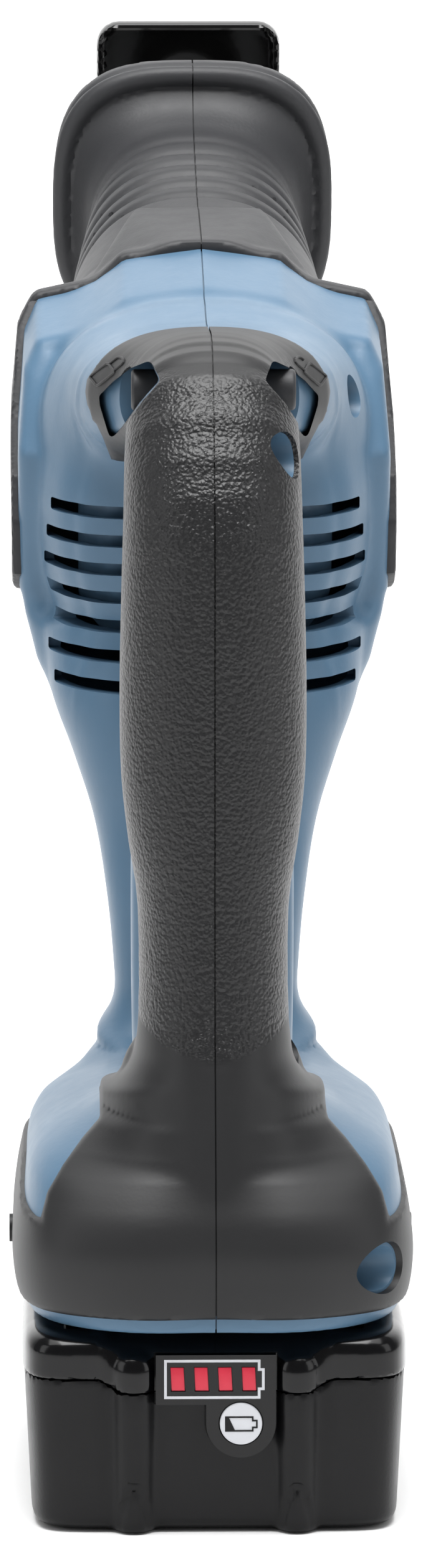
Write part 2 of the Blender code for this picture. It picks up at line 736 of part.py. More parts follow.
def make_shoe(frame):
    steel = ((0.50, 0.50, 0.51), 0.35, 1.0)
    gloss = ((0.012, 0.012, 0.013), 0.12, 0.3)
    black = ((0.03, 0.03, 0.032), 0.45, 0.0)
    half = STEM_WIDTH / 2.0
    low = STEM_Z - STEM_THICKNESS / 2.0
    high = STEM_Z + STEM_THICKNESS / 2.0
    front = SHOE_PIVOT_Y + 5.0
    bore = SHOE_PIN_RADIUS + GAP
    pivot = (SHOE_PIVOT_Y, STEM_Z)
    stem = box((-half, STEM_REAR, low), (half, front, high), frame)
    eye = box((-half, SHOE_PIVOT_Y - 5.0, low - 2.0), (half, front, high + 1.0), frame)
    join(stem, eye)
    cut(stem, rod("x", bore, -20.0, 20.0, pivot, frame, 16))
    as_node(stem, "shoe_stem", steel)

    half = SHOE_WIDTH / 2.0
    plate_front = SHOE_Y + SHOE_THICKNESS
    plate = box((-half, SHOE_Y, SHOE_BOTTOM), (half, plate_front, SHOE_TOP), frame)
    round_corners(plate, SHOE_CORNER)
    slot_half, slot_low, slot_high = BLADE_SLOT
    low = (-slot_half, SHOE_Y - 5.0, slot_low)
    cut(plate, box(low, (slot_half, SHOE_Y + 10.0, slot_high), frame))
    for side in (-1.0, 1.0):
        ends = sorted((LUG_INNER * side, LUG_OUTER * side))
        low = (ends[0], SHOE_PIVOT_Y - LUG_HALF, STEM_Z - LUG_HALF)
        high = (ends[1], SHOE_Y + 1.0, STEM_Z + LUG_HALF)
        join(plate, box(low, high, frame))
    cut(plate, rod("x", bore, -20.0, 20.0, pivot, frame, 16))
    as_node(plate, "shoe_plate", gloss)
    pin_half = LUG_OUTER + 1.0
    pin = rod("x", SHOE_PIN_RADIUS, -pin_half, pin_half, pivot, frame, 16)
    as_node(pin, "shoe_pivot_pin", steel)

    button_top = STEM_Z - STEM_THICKNESS / 2.0 - 3.0
    button = box((-6.0, 128.0, -20.5), (6.0, 140.0, button_top), frame, bevel=1.0)
    as_node(button, "shoe_lock_button", black)


def round_corners(obj, radius):
    """Rounds the four edges of a plate that run along its thickness."""
    bm = bmesh.new()
    bm.from_mesh(obj.data)
    edges = [e for e in bm.edges if abs((e.verts[0].co - e.verts[1].co).y) > 1e-6]
    bmesh.ops.bevel(bm, geom=edges, offset=radius * MM, segments=4, affect="EDGES", profile=0.5)
    bm.to_mesh(obj.data)
    bm.free()


# ---------------------------------------------------------------- electrics


def make_electrics():
    dark = ((0.03, 0.03, 0.032), 0.5, 0.0)
    board = ((0.03, 0.16, 0.07), 0.5, 0.0)
    trigger = box((-7.6, -13.0, TRIGGER_BOTTOM), (7.6, TRIGGER_FRONT, TRIGGER_TOP), bevel=2.4)
    hollow = rod("x", 60.0, -20.0, 20.0, (TRIGGER_FRONT + 57.0, 182.0), sides=64)
    as_node(cut(trigger, hollow), "trigger", dark)
    as_node(box((-9.0, -39.5, 168.0), (9.0, -20.6, 199.0)), "switch_body", dark)
    button = rod("x", LOCK_RADIUS, -16.0, 14.0, (LOCK_Y, LOCK_Z), sides=20)
    as_node(button, "lock_off_button", dark)
    as_node(box((-14.0, 46.0, 90.0), (14.0, 54.0, 126.0)), "controller_board", board)
    block = box((-15.0, -43.0, TONGUE_TOP + 3.6), (15.0, -12.0, TONGUE_TOP + 9.0))
    as_node(block, "terminal_block", dark)
    lens = rod("y", LIGHT_RADIUS, 80.0, 90.5, (0.0, LIGHT_Z), sides=16)
    as_node(lens, "work_light_lens", ((0.8, 0.82, 0.85), 0.1, 0.0))


# ---------------------------------------------------------------- battery


def case_block(bottom, top, shrink=0.0):
    """The rounded block of the battery case between two heights, a little narrower at its foot."""
    levels = (0.0, 2.0, 5.0, BATTERY_PARTING, 34.0, 37.5, BATTERY_TOP)
    heights = [height for height in levels if bottom < height < top]
    rings = []
    for height in [bottom, *heights, top]:
        inset = shrink
        if height < 5.0:
            inset += 2.2 * (1.0 - height / 5.0) ** 2
        if height > 34.0:
            inset += 3.0 * ((height - 34.0) / (BATTERY_TOP - 34.0)) ** 2
        inset += 1.4 * (1.0 - min(height, BATTERY_PARTING) / BATTERY_PARTING)
        ring = oval(BATTERY_WIDTH / 2.0 - inset, BATTERY_LENGTH / 2.0 - inset, 9.0, 32)
        rings.append([(x, y, height) for x, y in ring])
    return loft(rings)


def make_battery():
    black = ((0.014, 0.014, 0.016), 0.3, 0.0)
    nickel = ((0.30, 0.33, 0.36), 0.4, 1.0)
    brass = ((0.6, 0.45, 0.2), 0.3, 1.0)
    board = ((0.03, 0.16, 0.07), 0.5, 0.0)
    half = TONGUE_WIDTH / 2.0

    lower = case_block(0.0, BATTERY_PARTING)
    cut(lower, case_block(1.4, BATTERY_PARTING, shrink=CASE_WALL + 1.2))
    low = (-30.0, -50.0, BATTERY_PARTING - 2.0)
    cut(lower, box(low, (30.0, 50.0, BATTERY_PARTING + 5.0)))
    upper = case_block(BATTERY_PARTING + GAP, BATTERY_TOP)
    low = (-half, TONGUE_REAR, BATTERY_TOP - 4.0)
    join(upper, box(low, (half, 54.0, TONGUE_TOP), bevel=1.5))
    cut(upper, box((-33.4, -53.0, 20.0), (33.4, 53.0, 37.7)))
    low = (-half + 5.0, TONGUE_REAR + 3.0, 30.0)
    cut(upper, box(low, (half - 5.0, 38.0, TONGUE_TOP - 2.2)))
    for side in (-1.0, 1.0):
        groove = sorted(((half - 3.0) * side, (half + 5.0) * side))
        low = (groove[0], -60.0, RAIL_LOW - 0.5)
        cut(upper, box(low, (groove[1], 60.0, RAIL_HIGH + 0.5)))
    slot_rear = TONGUE_REAR - 2.0
    for x in (-12.0, 12.0):
        cut(upper, box((x - 2.2, slot_rear, 49.0), (x + 2.2, -12.0, 70.0)))
    # pocket of the release button, in the front of the upper case
    cut(upper, box((-13.4, 40.0, 43.0), (13.4, 70.0, 54.4)))

    panel = gauge_plate(-58.2, -55.9, 0.0)
    cut(lower, gauge_plate(-60.0, -55.6, GAP))
    cut(upper, gauge_plate(-60.0, -55.6, GAP))
    red = ((0.75, 0.05, 0.09), 0.4, 0.0)
    for i in range(4):
        left = LAMP_FIRST + LAMP_PITCH * i - LAMP_HALF
        right = left + 2.0 * LAMP_HALF
        low = (left - GAP, -60.0, LAMP_BOTTOM - GAP)
        cut(panel, box(low, (right + GAP, -57.2, LAMP_TOP + GAP)))
        lamp = box((left, -58.3, LAMP_BOTTOM), (right, -57.5, LAMP_TOP))
        as_node(lamp, f"charge_light_{i + 1}", red)
    cut(panel, rod("y", 4.5, -60.0, -57.0, CHECK_BUTTON, sides=24))
    button = rod("y", 4.1, -58.9, -57.9, CHECK_BUTTON, sides=24)
    as_node(button, "check_button", ((0.8, 0.8, 0.8), 0.5, 0.0))
    as_node(lower, "battery_lower_case", black)
    as_node(upper, "battery_upper_case", black)
    as_node(panel, "gauge_panel", black)
    make_cells(nickel)
    plate = box((-20.0, -36.0, 48.0), (20.0, 32.0, 50.0))
    for x in (-12.0, 12.0):
        cut(plate, box((x - 3.0, -44.0, 40.0), (x + 3.0, -8.0, 60.0)))
        blade = box((x - 1.0, -38.0, 49.6), (x + 1.0, -14.0, 55.6))
        as_node(blade, "terminal_left" if x < 0 else "terminal_right", brass)
    as_node(plate, "battery_board", board)
    release = box(RELEASE_LOW, RELEASE_HIGH, bevel=1.5)
    as_node(release, "release_button", ((0.02, 0.02, 0.022), 0.4, 0.0))


def gauge_plate(rear, front, grow):
    """The outline of the charge gauge: a wide bar with a round tab for the check button."""
    plate = box((-11.6 - grow, rear, 26.0 - grow), (11.6 + grow, front, 35.8 + grow))
    x, z = CHECK_BUTTON
    radius = 6.75 + grow
    join(plate, box((x - radius, rear, z), (x + radius, front, 30.0)))
    return join(plate, rod("y", radius, rear, front, CHECK_BUTTON, sides=24))


def make_cells(look):
    """Ten round cells in two layers, welded together by a strip across each end."""
    pack = None
    half = CELL_LENGTH / 2.0
    for layer in range(2):
        for i in range(CELLS_IN_ROW):
            y = (i - (CELLS_IN_ROW - 1) / 2.0) * (CELL_PITCH + 0.6)
            z = CELL_BOTTOM + CELL_RADIUS + layer * CELL_PITCH
            cell = rod("x", CELL_RADIUS, -half, half, (y, z), sides=CELL_SIDES)
            pack = cell if pack is None else join(pack, cell)
    for side in (-1.0, 1.0):
        ends = sorted(((half - 0.3) * side, (half + 0.3) * side))
        join(pack, box((ends[0], -42.0, 8.0), (ends[1], 42.0, 32.0)))
    as_node(pack, "cell_pack", look)


def make_tool_frame():
    frame = bpy.data.objects.new("tool_frame", None)
    PARTS.objects.link(frame)
    frame.location = (0.0, TOOL_Y * MM, TOOL_Z * MM)
    frame.rotation_euler = (TOOL_TILT, 0.0, 0.0)
    bpy.context.view_layer.update()
    return frame


def main():
    clear_scene()
    frame = make_tool_frame()
    make_housing(frame)
    make_screws()
    make_boot(frame)
    make_motor(frame)
    make_gearcase(frame)
    make_crank(frame)
    make_plunger(frame)
    make_shoe(frame)
    make_electrics()
    make_battery()


main()
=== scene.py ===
"""Looks of a cordless D-handle reciprocating saw that stands on its battery.

The organic shells are level sets: a shape is a function of points in millimetres that is
negative inside, pieces are blended with soft minimum and maximum, and net() turns the
function into an even quad mesh. Everything else is built from bmesh primitives.
"""

import math

import bmesh
import bpy
import numpy as np
from mathutils import Matrix, Vector


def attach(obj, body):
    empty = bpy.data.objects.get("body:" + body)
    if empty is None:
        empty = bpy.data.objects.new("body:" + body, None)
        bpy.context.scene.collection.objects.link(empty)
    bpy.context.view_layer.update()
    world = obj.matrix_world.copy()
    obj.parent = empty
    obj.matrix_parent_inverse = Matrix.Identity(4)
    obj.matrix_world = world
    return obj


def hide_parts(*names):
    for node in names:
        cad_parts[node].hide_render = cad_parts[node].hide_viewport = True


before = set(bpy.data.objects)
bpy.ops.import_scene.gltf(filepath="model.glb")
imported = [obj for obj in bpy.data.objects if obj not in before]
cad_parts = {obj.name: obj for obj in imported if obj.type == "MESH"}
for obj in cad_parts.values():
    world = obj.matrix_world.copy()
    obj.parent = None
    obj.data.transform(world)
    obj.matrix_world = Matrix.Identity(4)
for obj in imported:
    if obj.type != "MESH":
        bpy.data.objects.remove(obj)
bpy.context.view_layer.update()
MM = 0.001
FINE = 1.0

# The tool axis, as in the CAD model
TILT = math.radians(13.5)
AXIS_Y = 67.5
AXIS_Z = 190.0
COS, SIN = math.cos(TILT), math.sin(TILT)


# ---------------- level sets


def blend(a, b, k):
    """Soft minimum: the union of two shapes with a fillet of about k."""
    h = np.clip(0.5 + 0.5 * (b - a) / k, 0.0, 1.0)
    return b + (a - b) * h - k * h * (1.0 - h)


def carve(a, b, k):
    """Soft maximum: what two shapes share, with a rounding of about k."""
    return -blend(-a, -b, k)


def spline(stations, column, s):
    """Smooth curve through one column of a station table, and its slope."""
    xs = np.array([row[0] for row in stations], np.float32)
    ys = np.array([row[column] for row in stations], np.float32)
    slopes = np.gradient(ys, xs)
    s = np.clip(s, xs[0], xs[-1])
    i = np.clip(np.searchsorted(xs, s, side="right") - 1, 0, len(xs) - 2)
    width = xs[i + 1] - xs[i]
    t = (s - xs[i]) / width
    t2, t3 = t * t, t * t * t
    value = (
        (2 * t3 - 3 * t2 + 1) * ys[i]
        + (t3 - 2 * t2 + t) * width * slopes[i]
        + (3 * t2 - 2 * t3) * ys[i + 1]
        + (t3 - t2) * width * slopes[i + 1]
    )
    rate = (
        (6 * t2 - 6 * t) * (ys[i] - ys[i + 1]) / width
        + (3 * t2 - 4 * t + 1) * slopes[i]
        + (3 * t2 - 2 * t) * slopes[i + 1]
    )
    return value, rate


def oval(across, along, half_width, half_height, power):
    """Distance-like value of a superellipse section."""
    a = np.abs(across) / half_width
    b = np.abs(along) / half_height
    r = (a**power + b**power) ** (1.0 / power)
    return (r - 1.0) * np.minimum(half_width, half_height)


def tool_axes(y, z):
    """u along the tool axis and v square to it, from world y and z."""
    dy, dz = y - AXIS_Y, z - AXIS_Z
    return dy * COS + dz * SIN, dz * COS - dy * SIN


def axial(stations, x, u, v, grow, power, high=None, edge=1.0):
    """A loft along the tool axis: rows are (u, half width, top, bottom)."""
    half, rate = spline(stations, 1, u)
    top = spline(stations, 2, u)[0]
    bottom = spline(stations, 3, u)[0]
    d = oval(x, v - (top + bottom) / 2, half + grow, (top - bottom) / 2 + grow, power)
    d = d / np.sqrt(1.0 + rate * rate)
    last = stations[-1][0] if high is None else high
    d = carve(d, stations[0][0] - grow - u, edge)
    return carve(d, u - last - grow, edge)


def upright(stations, x, y, z, grow, power, edge=1.0):
    """A loft up world z: rows are (z, y of the centre, half width, half depth)."""
    middle = spline(stations, 1, z)[0]
    half, rate = spline(stations, 2, z)
    depth = spline(stations, 3, z)[0]
    d = oval(x, y - middle, half + grow, depth + grow, power)
    d = d / np.sqrt(1.0 + rate * rate)
    d = carve(d, stations[0][0] - z, edge)
    return carve(d, z - stations[-1][0] - grow, edge)


def box_field(x, y, z, low, high, round_by=0.0):
    """A box between two corners, with rounded edges."""
    parts = []
    for value, a, b in zip((x, y, z), low, high):
        parts.append(np.abs(value - (a + b) / 2) - ((b - a) / 2 - round_by))
    outside = np.sqrt(sum(np.maximum(p, 0.0) ** 2 for p in parts))
    inside = np.minimum(np.maximum(np.maximum(parts[0], parts[1]), parts[2]), 0.0)
    return outside + inside - round_by


def polygon_field(p, q, corners):
    """Signed distance to a polygon in a plane, negative inside. corners go round once."""
    best = None
    sign = np.ones_like(p)
    count = len(corners)
    for i in range(count):
        ax, ay = corners[i]
        bx, by = corners[i - 1]
        ex, ey = bx - ax, by - ay
        wx, wy = p - ax, q - ay
        t = np.clip((wx * ex + wy * ey) / (ex * ex + ey * ey), 0.0, 1.0)
        d = (wx - ex * t) ** 2 + (wy - ey * t) ** 2
        best = d if best is None else np.minimum(best, d)
        c1, c2, c3 = q >= ay, q < by, ex * wy > ey * wx
        flip = (c1 & c2 & c3) | (~c1 & ~c2 & ~c3)
        sign = np.where(flip, -sign, sign)
    return sign * np.sqrt(best)


def swept(path, x, y, z, grow, power):
    """A tube along a path in the y-z plane: rows are (y, z, half width, half depth)."""
    best = np.full(x.shape, 1e9, np.float32)
    side = np.zeros(x.shape, np.float32)
    half = np.ones(x.shape, np.float32)
    depth = np.ones(x.shape, np.float32)
    for a, b in zip(path[:-1], path[1:]):
        ey, ez = b[0] - a[0], b[1] - a[1]
        length = math.hypot(ey, ez)
        wy, wz = y - a[0], z - a[1]
        t = np.clip((wy * ey + wz * ez) / (length * length), 0.0, 1.0)
        dy, dz = wy - ey * t, wz - ez * t
        d2 = dy * dy + dz * dz
        nearer = d2 < best
        best = np.where(nearer, d2, best)
        cross = (wz * ey - wy * ez) / length
        side = np.where(nearer, np.sign(cross) * np.sqrt(d2), side)
        half = np.where(nearer, a[2] + (b[2] - a[2]) * t, half)
        depth = np.where(nearer, a[3] + (b[3] - a[3]) * t, depth)
    return oval(x, side, half + grow, depth + grow, power)


def smooth_path(rows, per_span):
    """Catmull-Rom points through rows of numbers."""
    rows = [np.array(row, float) for row in rows]
    rows = [2 * rows[0] - rows[1], *rows, 2 * rows[-1] - rows[-2]]
    out = []
    for a, b, c, d in zip(rows, rows[1:], rows[2:], rows[3:]):
        for i in range(per_span):
            t = i / per_span
            out.append(
                0.5 * (2 * b + (c - a) * t + (2 * a - 5 * b + 4 * c - d) * t**2
                       + (3 * b - a - 3 * c + d) * t**3)
            )
    out.append(rows[-2])
    return [tuple(float(v) for v in row) for row in out]


# ---------------- nets


SETTLE = 2  # steps that move a net's points onto the surface
CRUMB = 40  # a piece of net with fewer points is dropped
CORNERS = [(i, j, k) for i in (0, 1) for j in (0, 1) for k in (0, 1)]
EDGES = [
    (a, b) for a in CORNERS for b in CORNERS
    if a < b and sum(abs(p - q) for p, q in zip(a, b)) == 1
]


def sample(field, low, counts, step):
    """The field on a grid, worked out only near the surface."""
    wide = 4
    coarse = [n // wide + 2 for n in counts]
    axes = [low[i] + step * wide * np.arange(coarse[i], dtype=np.float32) for i in range(3)]
    grid = np.meshgrid(*axes, indexing="ij")
    rough = field(*grid)
    near = np.abs(rough) < step * wide * 1.9
    cells = np.zeros(near.shape, bool)
    for i, j, k in CORNERS:
        cells[: near.shape[0] - i, : near.shape[1] - j, : near.shape[2] - k] |= near[i:, j:, k:]
    fine = rough
    mask = cells
    for axis in range(3):
        fine = np.repeat(fine, wide, axis)
        mask = np.repeat(mask, wide, axis)
    fine = np.ascontiguousarray(fine[: counts[0], : counts[1], : counts[2]])
    mask = mask[: counts[0], : counts[1], : counts[2]]
    where = np.nonzero(mask)
    points = [low[i] + step * where[i].astype(np.float32) for i in range(3)]
    fine[where] = field(*points)
    return fine


def net(name, field, low, high, step):
    """A closed quad mesh of where the field is zero, as an object in metres."""
    step *= FINE
    low = np.array(low, float) + 0.137 * step
    counts = [int((b - a) / step) + 2 for a, b in zip(low, high)]
    values = sample(field, low, counts, step)
    for axis in range(3):
        edge = [slice(None)] * 3
        for end in (0, -1):
            edge[axis] = end
            values[tuple(edge)] = np.maximum(values[tuple(edge)], 0.01)
    inside = values < 0
    total = np.zeros([n - 1 for n in counts], np.int8)
    for i, j, k in CORNERS:
        total += inside[i:counts[0] - 1 + i, j:counts[1] - 1 + j, k:counts[2] - 1 + k]
    active = (total > 0) & (total < 8)
    cells = np.argwhere(active)
    index = np.full(active.shape, -1, np.int64)
    index[active] = np.arange(len(cells))
    sums = np.zeros((len(cells), 3))
    hits = np.zeros(len(cells))
    for a, b in EDGES:
        fa = values[tuple((cells + a).T)]
        fb = values[tuple((cells + b).T)]
        crossed = (fa < 0) != (fb < 0)
        t = np.where(crossed, fa / np.where(crossed, fa - fb, 1.0), 0.0)
        point = np.array(a) + t[:, None] * (np.array(b) - np.array(a))
        sums[crossed] += point[crossed]
        hits += crossed
    verts = (low + (cells + sums / hits[:, None]) * step).astype(np.float32)
    faces = []
    for axis in range(3):
        near = [slice(1, -1)] * 3
        far = [slice(1, -1)] * 3
        near[axis], far[axis] = slice(0, -1), slice(1, None)
        change = inside[tuple(near)] != inside[tuple(far)]
        spots = np.argwhere(change)
        spots += [0 if i == axis else 1 for i in range(3)]
        outward = inside[tuple(spots.T)]
        p, q = [i for i in range(3) if i != axis]
        quad = []
        for dp, dq in ((0, 0), (1, 0), (1, 1), (0, 1)):
            cell = spots.copy()
            cell[:, p] -= dp
            cell[:, q] -= dq
            quad.append(index[tuple(cell.T)])
        quad = np.stack(quad, 1)
        turn = outward if axis != 1 else ~outward
        quad[~turn] = quad[~turn][:, ::-1]
        faces.append(quad)
    faces = np.concatenate(faces)
    h = 0.02
    for _ in range(SETTLE):
        x, y, z = verts.T
        d = field(x, y, z)
        slope = np.stack(
            [field(x + h, y, z) - d, field(x, y + h, z) - d, field(x, y, z + h) - d], 1
        ) / h
        size = np.maximum((slope**2).sum(1), 0.05)
        move = -(d / size)[:, None] * slope
        length = np.linalg.norm(move, axis=1, keepdims=True)
        move *= np.minimum(1.0, 0.5 * step / np.maximum(length, 1e-6))
        verts = (verts + move).astype(np.float32)
    mesh = bpy.data.meshes.new(name)
    mesh.vertices.add(len(verts))
    mesh.vertices.foreach_set("co", (verts * MM).ravel())
    mesh.loops.add(faces.size)
    mesh.loops.foreach_set("vertex_index", faces.ravel().astype(np.int32))
    mesh.polygons.add(len(faces))
    mesh.polygons.foreach_set("loop_start", np.arange(0, faces.size, 4, dtype=np.int32))
    mesh.update(calc_edges=True)
    mesh.validate()
    return drop_crumbs(place_object(name, mesh))


def place_object(name, data):
    obj = bpy.data.objects.new(name, data)
    bpy.context.scene.collection.objects.link(obj)
    return obj


def duplicate(obj):
    return place_object(obj.name, obj.data.copy())


def drop_crumbs(obj):
    """Keeps only the islands with a real number of points."""
    bm = bmesh.new()
    bm.from_mesh(obj.data)
    left = set(bm.verts)
    doomed = []
    while left:
        seed = left.pop()
        island, stack = [seed], [seed]
        while stack:
            for edge in stack.pop().link_edges:
                for vert in edge.verts:
                    if vert in left:
                        left.discard(vert)
                        island.append(vert)
                        stack.append(vert)
        if len(island) < CRUMB:
            doomed += island
    if doomed:
        bmesh.ops.delete(bm, geom=doomed, context="VERTS")
        bm.to_mesh(obj.data)
    bm.free()
    return obj


# ---------------- shell helpers


SIDES = ((-1.0, "left"), (1.0, "right"))
SEAM = 0.15  # half of the seam groove's width
TOUCH = 0.01  # half of what stays open below the groove
SEAM_DEPTH = 0.7
SLAB_CUTS = 48
# y and z, and x, that lie beyond the whole saw
BEYOND_LOW, BEYOND_HIGH, BEYOND_SIDE = (-150.0, -50.0), (400.0, 400.0), 90.0


def slab(name, low, high):
    """A block in small faces, so that a Boolean leaves no large face with a hole in it."""
    block = cube(name, low, high)
    bm = bmesh.new()
    bm.from_mesh(block.data)
    bmesh.ops.subdivide_edges(bm, edges=bm.edges[:], cuts=SLAB_CUTS, use_grid_fill=True)
    bm.to_mesh(block.data)
    bm.free()
    return block


def halves(obj):
    """Cuts a piece along the middle plane into a left and a right piece, with a groove."""
    stem = obj.name
    inner = duplicate(obj)
    normals = np.empty(len(inner.data.vertices) * 3, np.float32)
    places = normals.copy()
    inner.data.vertices.foreach_get("normal", normals)
    inner.data.vertices.foreach_get("co", places)
    inner.data.vertices.foreach_set("co", places - normals * SEAM_DEPTH * MM)
    sheet = slab("sheet", (-SEAM, *BEYOND_LOW), (SEAM, *BEYOND_HIGH))
    cut(sheet, inner)
    cut(obj, sheet)
    made = []
    for side, word in SIDES:
        half = duplicate(obj)
        ends = sorted((TOUCH * side, BEYOND_SIDE * side))
        block = slab("cutter", (ends[0], *BEYOND_LOW), (ends[1], *BEYOND_HIGH))
        solid(half, block, "INTERSECT")
        half.name = half.data.name = f"{stem}_{word}"
        made.append(half)
    bpy.data.objects.remove(obj)
    return made


def solid(obj, other, operation):
    """Applies a Boolean with another object, and removes the other."""
    modifier = obj.modifiers.new("solid", "BOOLEAN")
    modifier.object = other
    modifier.operation = operation
    modifier.solver = "MANIFOLD"
    bpy.context.view_layer.update()
    graph = bpy.context.evaluated_depsgraph_get()
    mesh = bpy.data.meshes.new_from_object(obj.evaluated_get(graph))
    obj.modifiers.clear()
    obj.data = mesh
    bpy.data.objects.remove(other)


def cut(obj, other):
    solid(obj, other, "DIFFERENCE")


def soften(bm, edges, offset, segments):
    bmesh.ops.bevel(
        bm, geom=edges, offset=offset, segments=segments, affect="EDGES", profile=0.5
    )


def bevel_edges(obj, picked, offset, segments):
    """Rounds the edges of a finished piece that picked(edge) says yes to."""
    bm = bmesh.new()
    bm.from_mesh(obj.data)
    soften(bm, [edge for edge in bm.edges if picked(edge)], offset * MM, segments)
    bm.to_mesh(obj.data)
    bm.free()


def from_bmesh(name, bm):
    """An object from a bmesh in millimetres."""
    bmesh.ops.recalc_face_normals(bm, faces=bm.faces)
    bmesh.ops.scale(bm, vec=(MM, MM, MM), verts=bm.verts)
    mesh = bpy.data.meshes.new(name)
    bm.to_mesh(mesh)
    bm.free()
    return place_object(name, mesh)


def cube(name, low, high, bevel=0.0, segments=3):
    bm = bmesh.new()
    bmesh.ops.create_cube(bm, size=1.0)
    bmesh.ops.scale(bm, vec=[b - a for a, b in zip(low, high)], verts=bm.verts)
    bmesh.ops.translate(bm, vec=[(a + b) / 2 for a, b in zip(low, high)], verts=bm.verts)
    if bevel:
        soften(bm, bm.edges[:], bevel, segments)
    return from_bmesh(name, bm)


def plate(name, outline, rear, front, bevel=0.0, segments=2):
    """A flat piece with an outline in x and z, between two values of y."""
    bm = bmesh.new()
    verts = [bm.verts.new((x, rear, z)) for x, z in outline]
    face = bm.faces.new(verts)
    made = bmesh.ops.extrude_face_region(bm, geom=[face])["geom"]
    moved = [g for g in made if isinstance(g, bmesh.types.BMVert)]
    bmesh.ops.translate(bm, vec=(0.0, front - rear, 0.0), verts=moved)
    if bevel:
        rim = [e for e in bm.edges if all(v.co.y < rear + 1e-6 for v in e.verts)]
        soften(bm, rim, bevel, segments)
    return from_bmesh(name, bm)


def arc(centre, radius, start, end, count):
    """Points of an arc, with the angles in degrees."""
    points = []
    for i in range(count + 1):
        angle = math.radians(start + (end - start) * i / count)
        points.append((centre[0] + radius * math.cos(angle), centre[1] + radius * math.sin(angle)))
    return points


def rounded(corners, radius, count=5):
    """An outline with its corners rounded. Each corner turns by less than a half turn."""
    points = []
    total = len(corners)
    for i in range(total):
        before = Vector(corners[i - 1])
        here = Vector(corners[i])
        after = Vector(corners[(i + 1) % total])
        a, b = (before - here).normalized(), (after - here).normalized()
        half = a.angle(b) / 2
        reach = min(radius / math.tan(half), (before - here).length / 2, (after - here).length / 2)
        start, end = here + a * reach, here + b * reach
        for j in range(count + 1):
            t = j / count
            points.append(tuple(start * (1 - t) ** 2 + here * 2 * t * (1 - t) + end * t * t))
    return points


SHARP = math.radians(35.0)  # edges that turn by more than this stay sharp


def piece(obj, body, material, *nodes):
    """Finishes a piece: its material, the body it rides on and the CAD nodes it stands for."""
    obj.data.materials.clear()
    obj.data.materials.append(material)
    obj.data.shade_smooth()
    obj.data.set_sharp_from_angle(angle=SHARP)
    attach(obj, body)
    if nodes:
        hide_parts(*nodes)


def two_sides(obj, material, *nodes):
    """Splits a piece in two halves, which stand for the CAD nodes of the same side."""
    for half, (_, word) in zip(halves(obj), SIDES):
        piece(half, "tool", material, *[f"{node}_{word}" for node in nodes])


# ---------------- materials


class Look:
    """A material with a Principled shader, and short ways to add nodes to it."""

    def __init__(self, name):
        self.made = bpy.data.materials.new(name)
        self.made.use_nodes = True
        self.place = self.node("TexCoord").outputs["Object"]

    def fill(self, node, inputs):
        """Gives a node's inputs a number, a colour, or another node's output."""
        for key, value in inputs.items():
            if isinstance(value, bpy.types.NodeSocket):
                self.made.node_tree.links.new(value, node.inputs[key])
            else:
                node.inputs[key].default_value = value

    def node(self, kind, inputs=None, **settings):
        made = self.made.node_tree.nodes.new("ShaderNode" + kind)
        for key, value in settings.items():
            setattr(made, key, value)
        self.fill(made, inputs or {})
        return made

    def surface(self, inputs):
        """Fills the Principled shader's inputs, and gives the finished material."""
        self.fill(self.made.node_tree.nodes["Principled BSDF"], inputs)
        return self.made

    def noise(self, scale, detail=2.0, roughness=0.5, output="Fac"):
        inputs = {"Vector": self.place, "Scale": scale, "Detail": detail, "Roughness": roughness}
        return self.node("TexNoise", inputs).outputs[output]

    def math(self, operation, *values, clamp=False):
        made = self.node("Math", dict(enumerate(values)), operation=operation, use_clamp=clamp)
        return made.outputs[0]

    def ramp(self, factor, low, high):
        """A colour between two colours."""
        made = self.node("ValToRGB", {0: factor})
        made.color_ramp.elements[0].color = (*low, 1.0)
        made.color_ramp.elements[1].color = (*high, 1.0)
        return made.outputs[0]

    def span(self, value, low, high):
        """A number between two numbers."""
        return self.node("MapRange", {"Value": value, "To Min": low, "To Max": high}).outputs[0]

    def bump(self, height, depth):
        return self.node("Bump", {"Height": height, "Distance": depth}).outputs[0]


def moulded(name, dark, light, rough, grain=900.0, depth=0.00002, gloss=0.0, metallic=0.0,
            shine=0.5):
    """Moulded plastic or coated metal: slight colour drift, uneven gloss and a fine skin."""
    look = Look(name)
    return look.surface({
        "Base Color": look.ramp(look.noise(38.0, 3.0), dark, light),
        "Roughness": look.span(look.noise(210.0, 4.0, 0.6), *rough),
        "Normal": look.bump(look.noise(grain), depth),
        "Metallic": metallic,
        "Specular IOR Level": shine,
        "Coat Weight": gloss,
        "Coat Roughness": 0.06,
    })


# Where the grip's grain ends, in metres: its low edge, which bends up to the sides, its top
# and its front, each with how fast it fades
GRAIN_LOW, GRAIN_BEND, GRAIN_LOW_FADE = 0.0915, 29.0, 900.0
GRAIN_TOP, GRAIN_TOP_FADE = 0.2245, 260.0
GRAIN_FRONT, GRAIN_FRONT_FADE = 0.008, 160.0


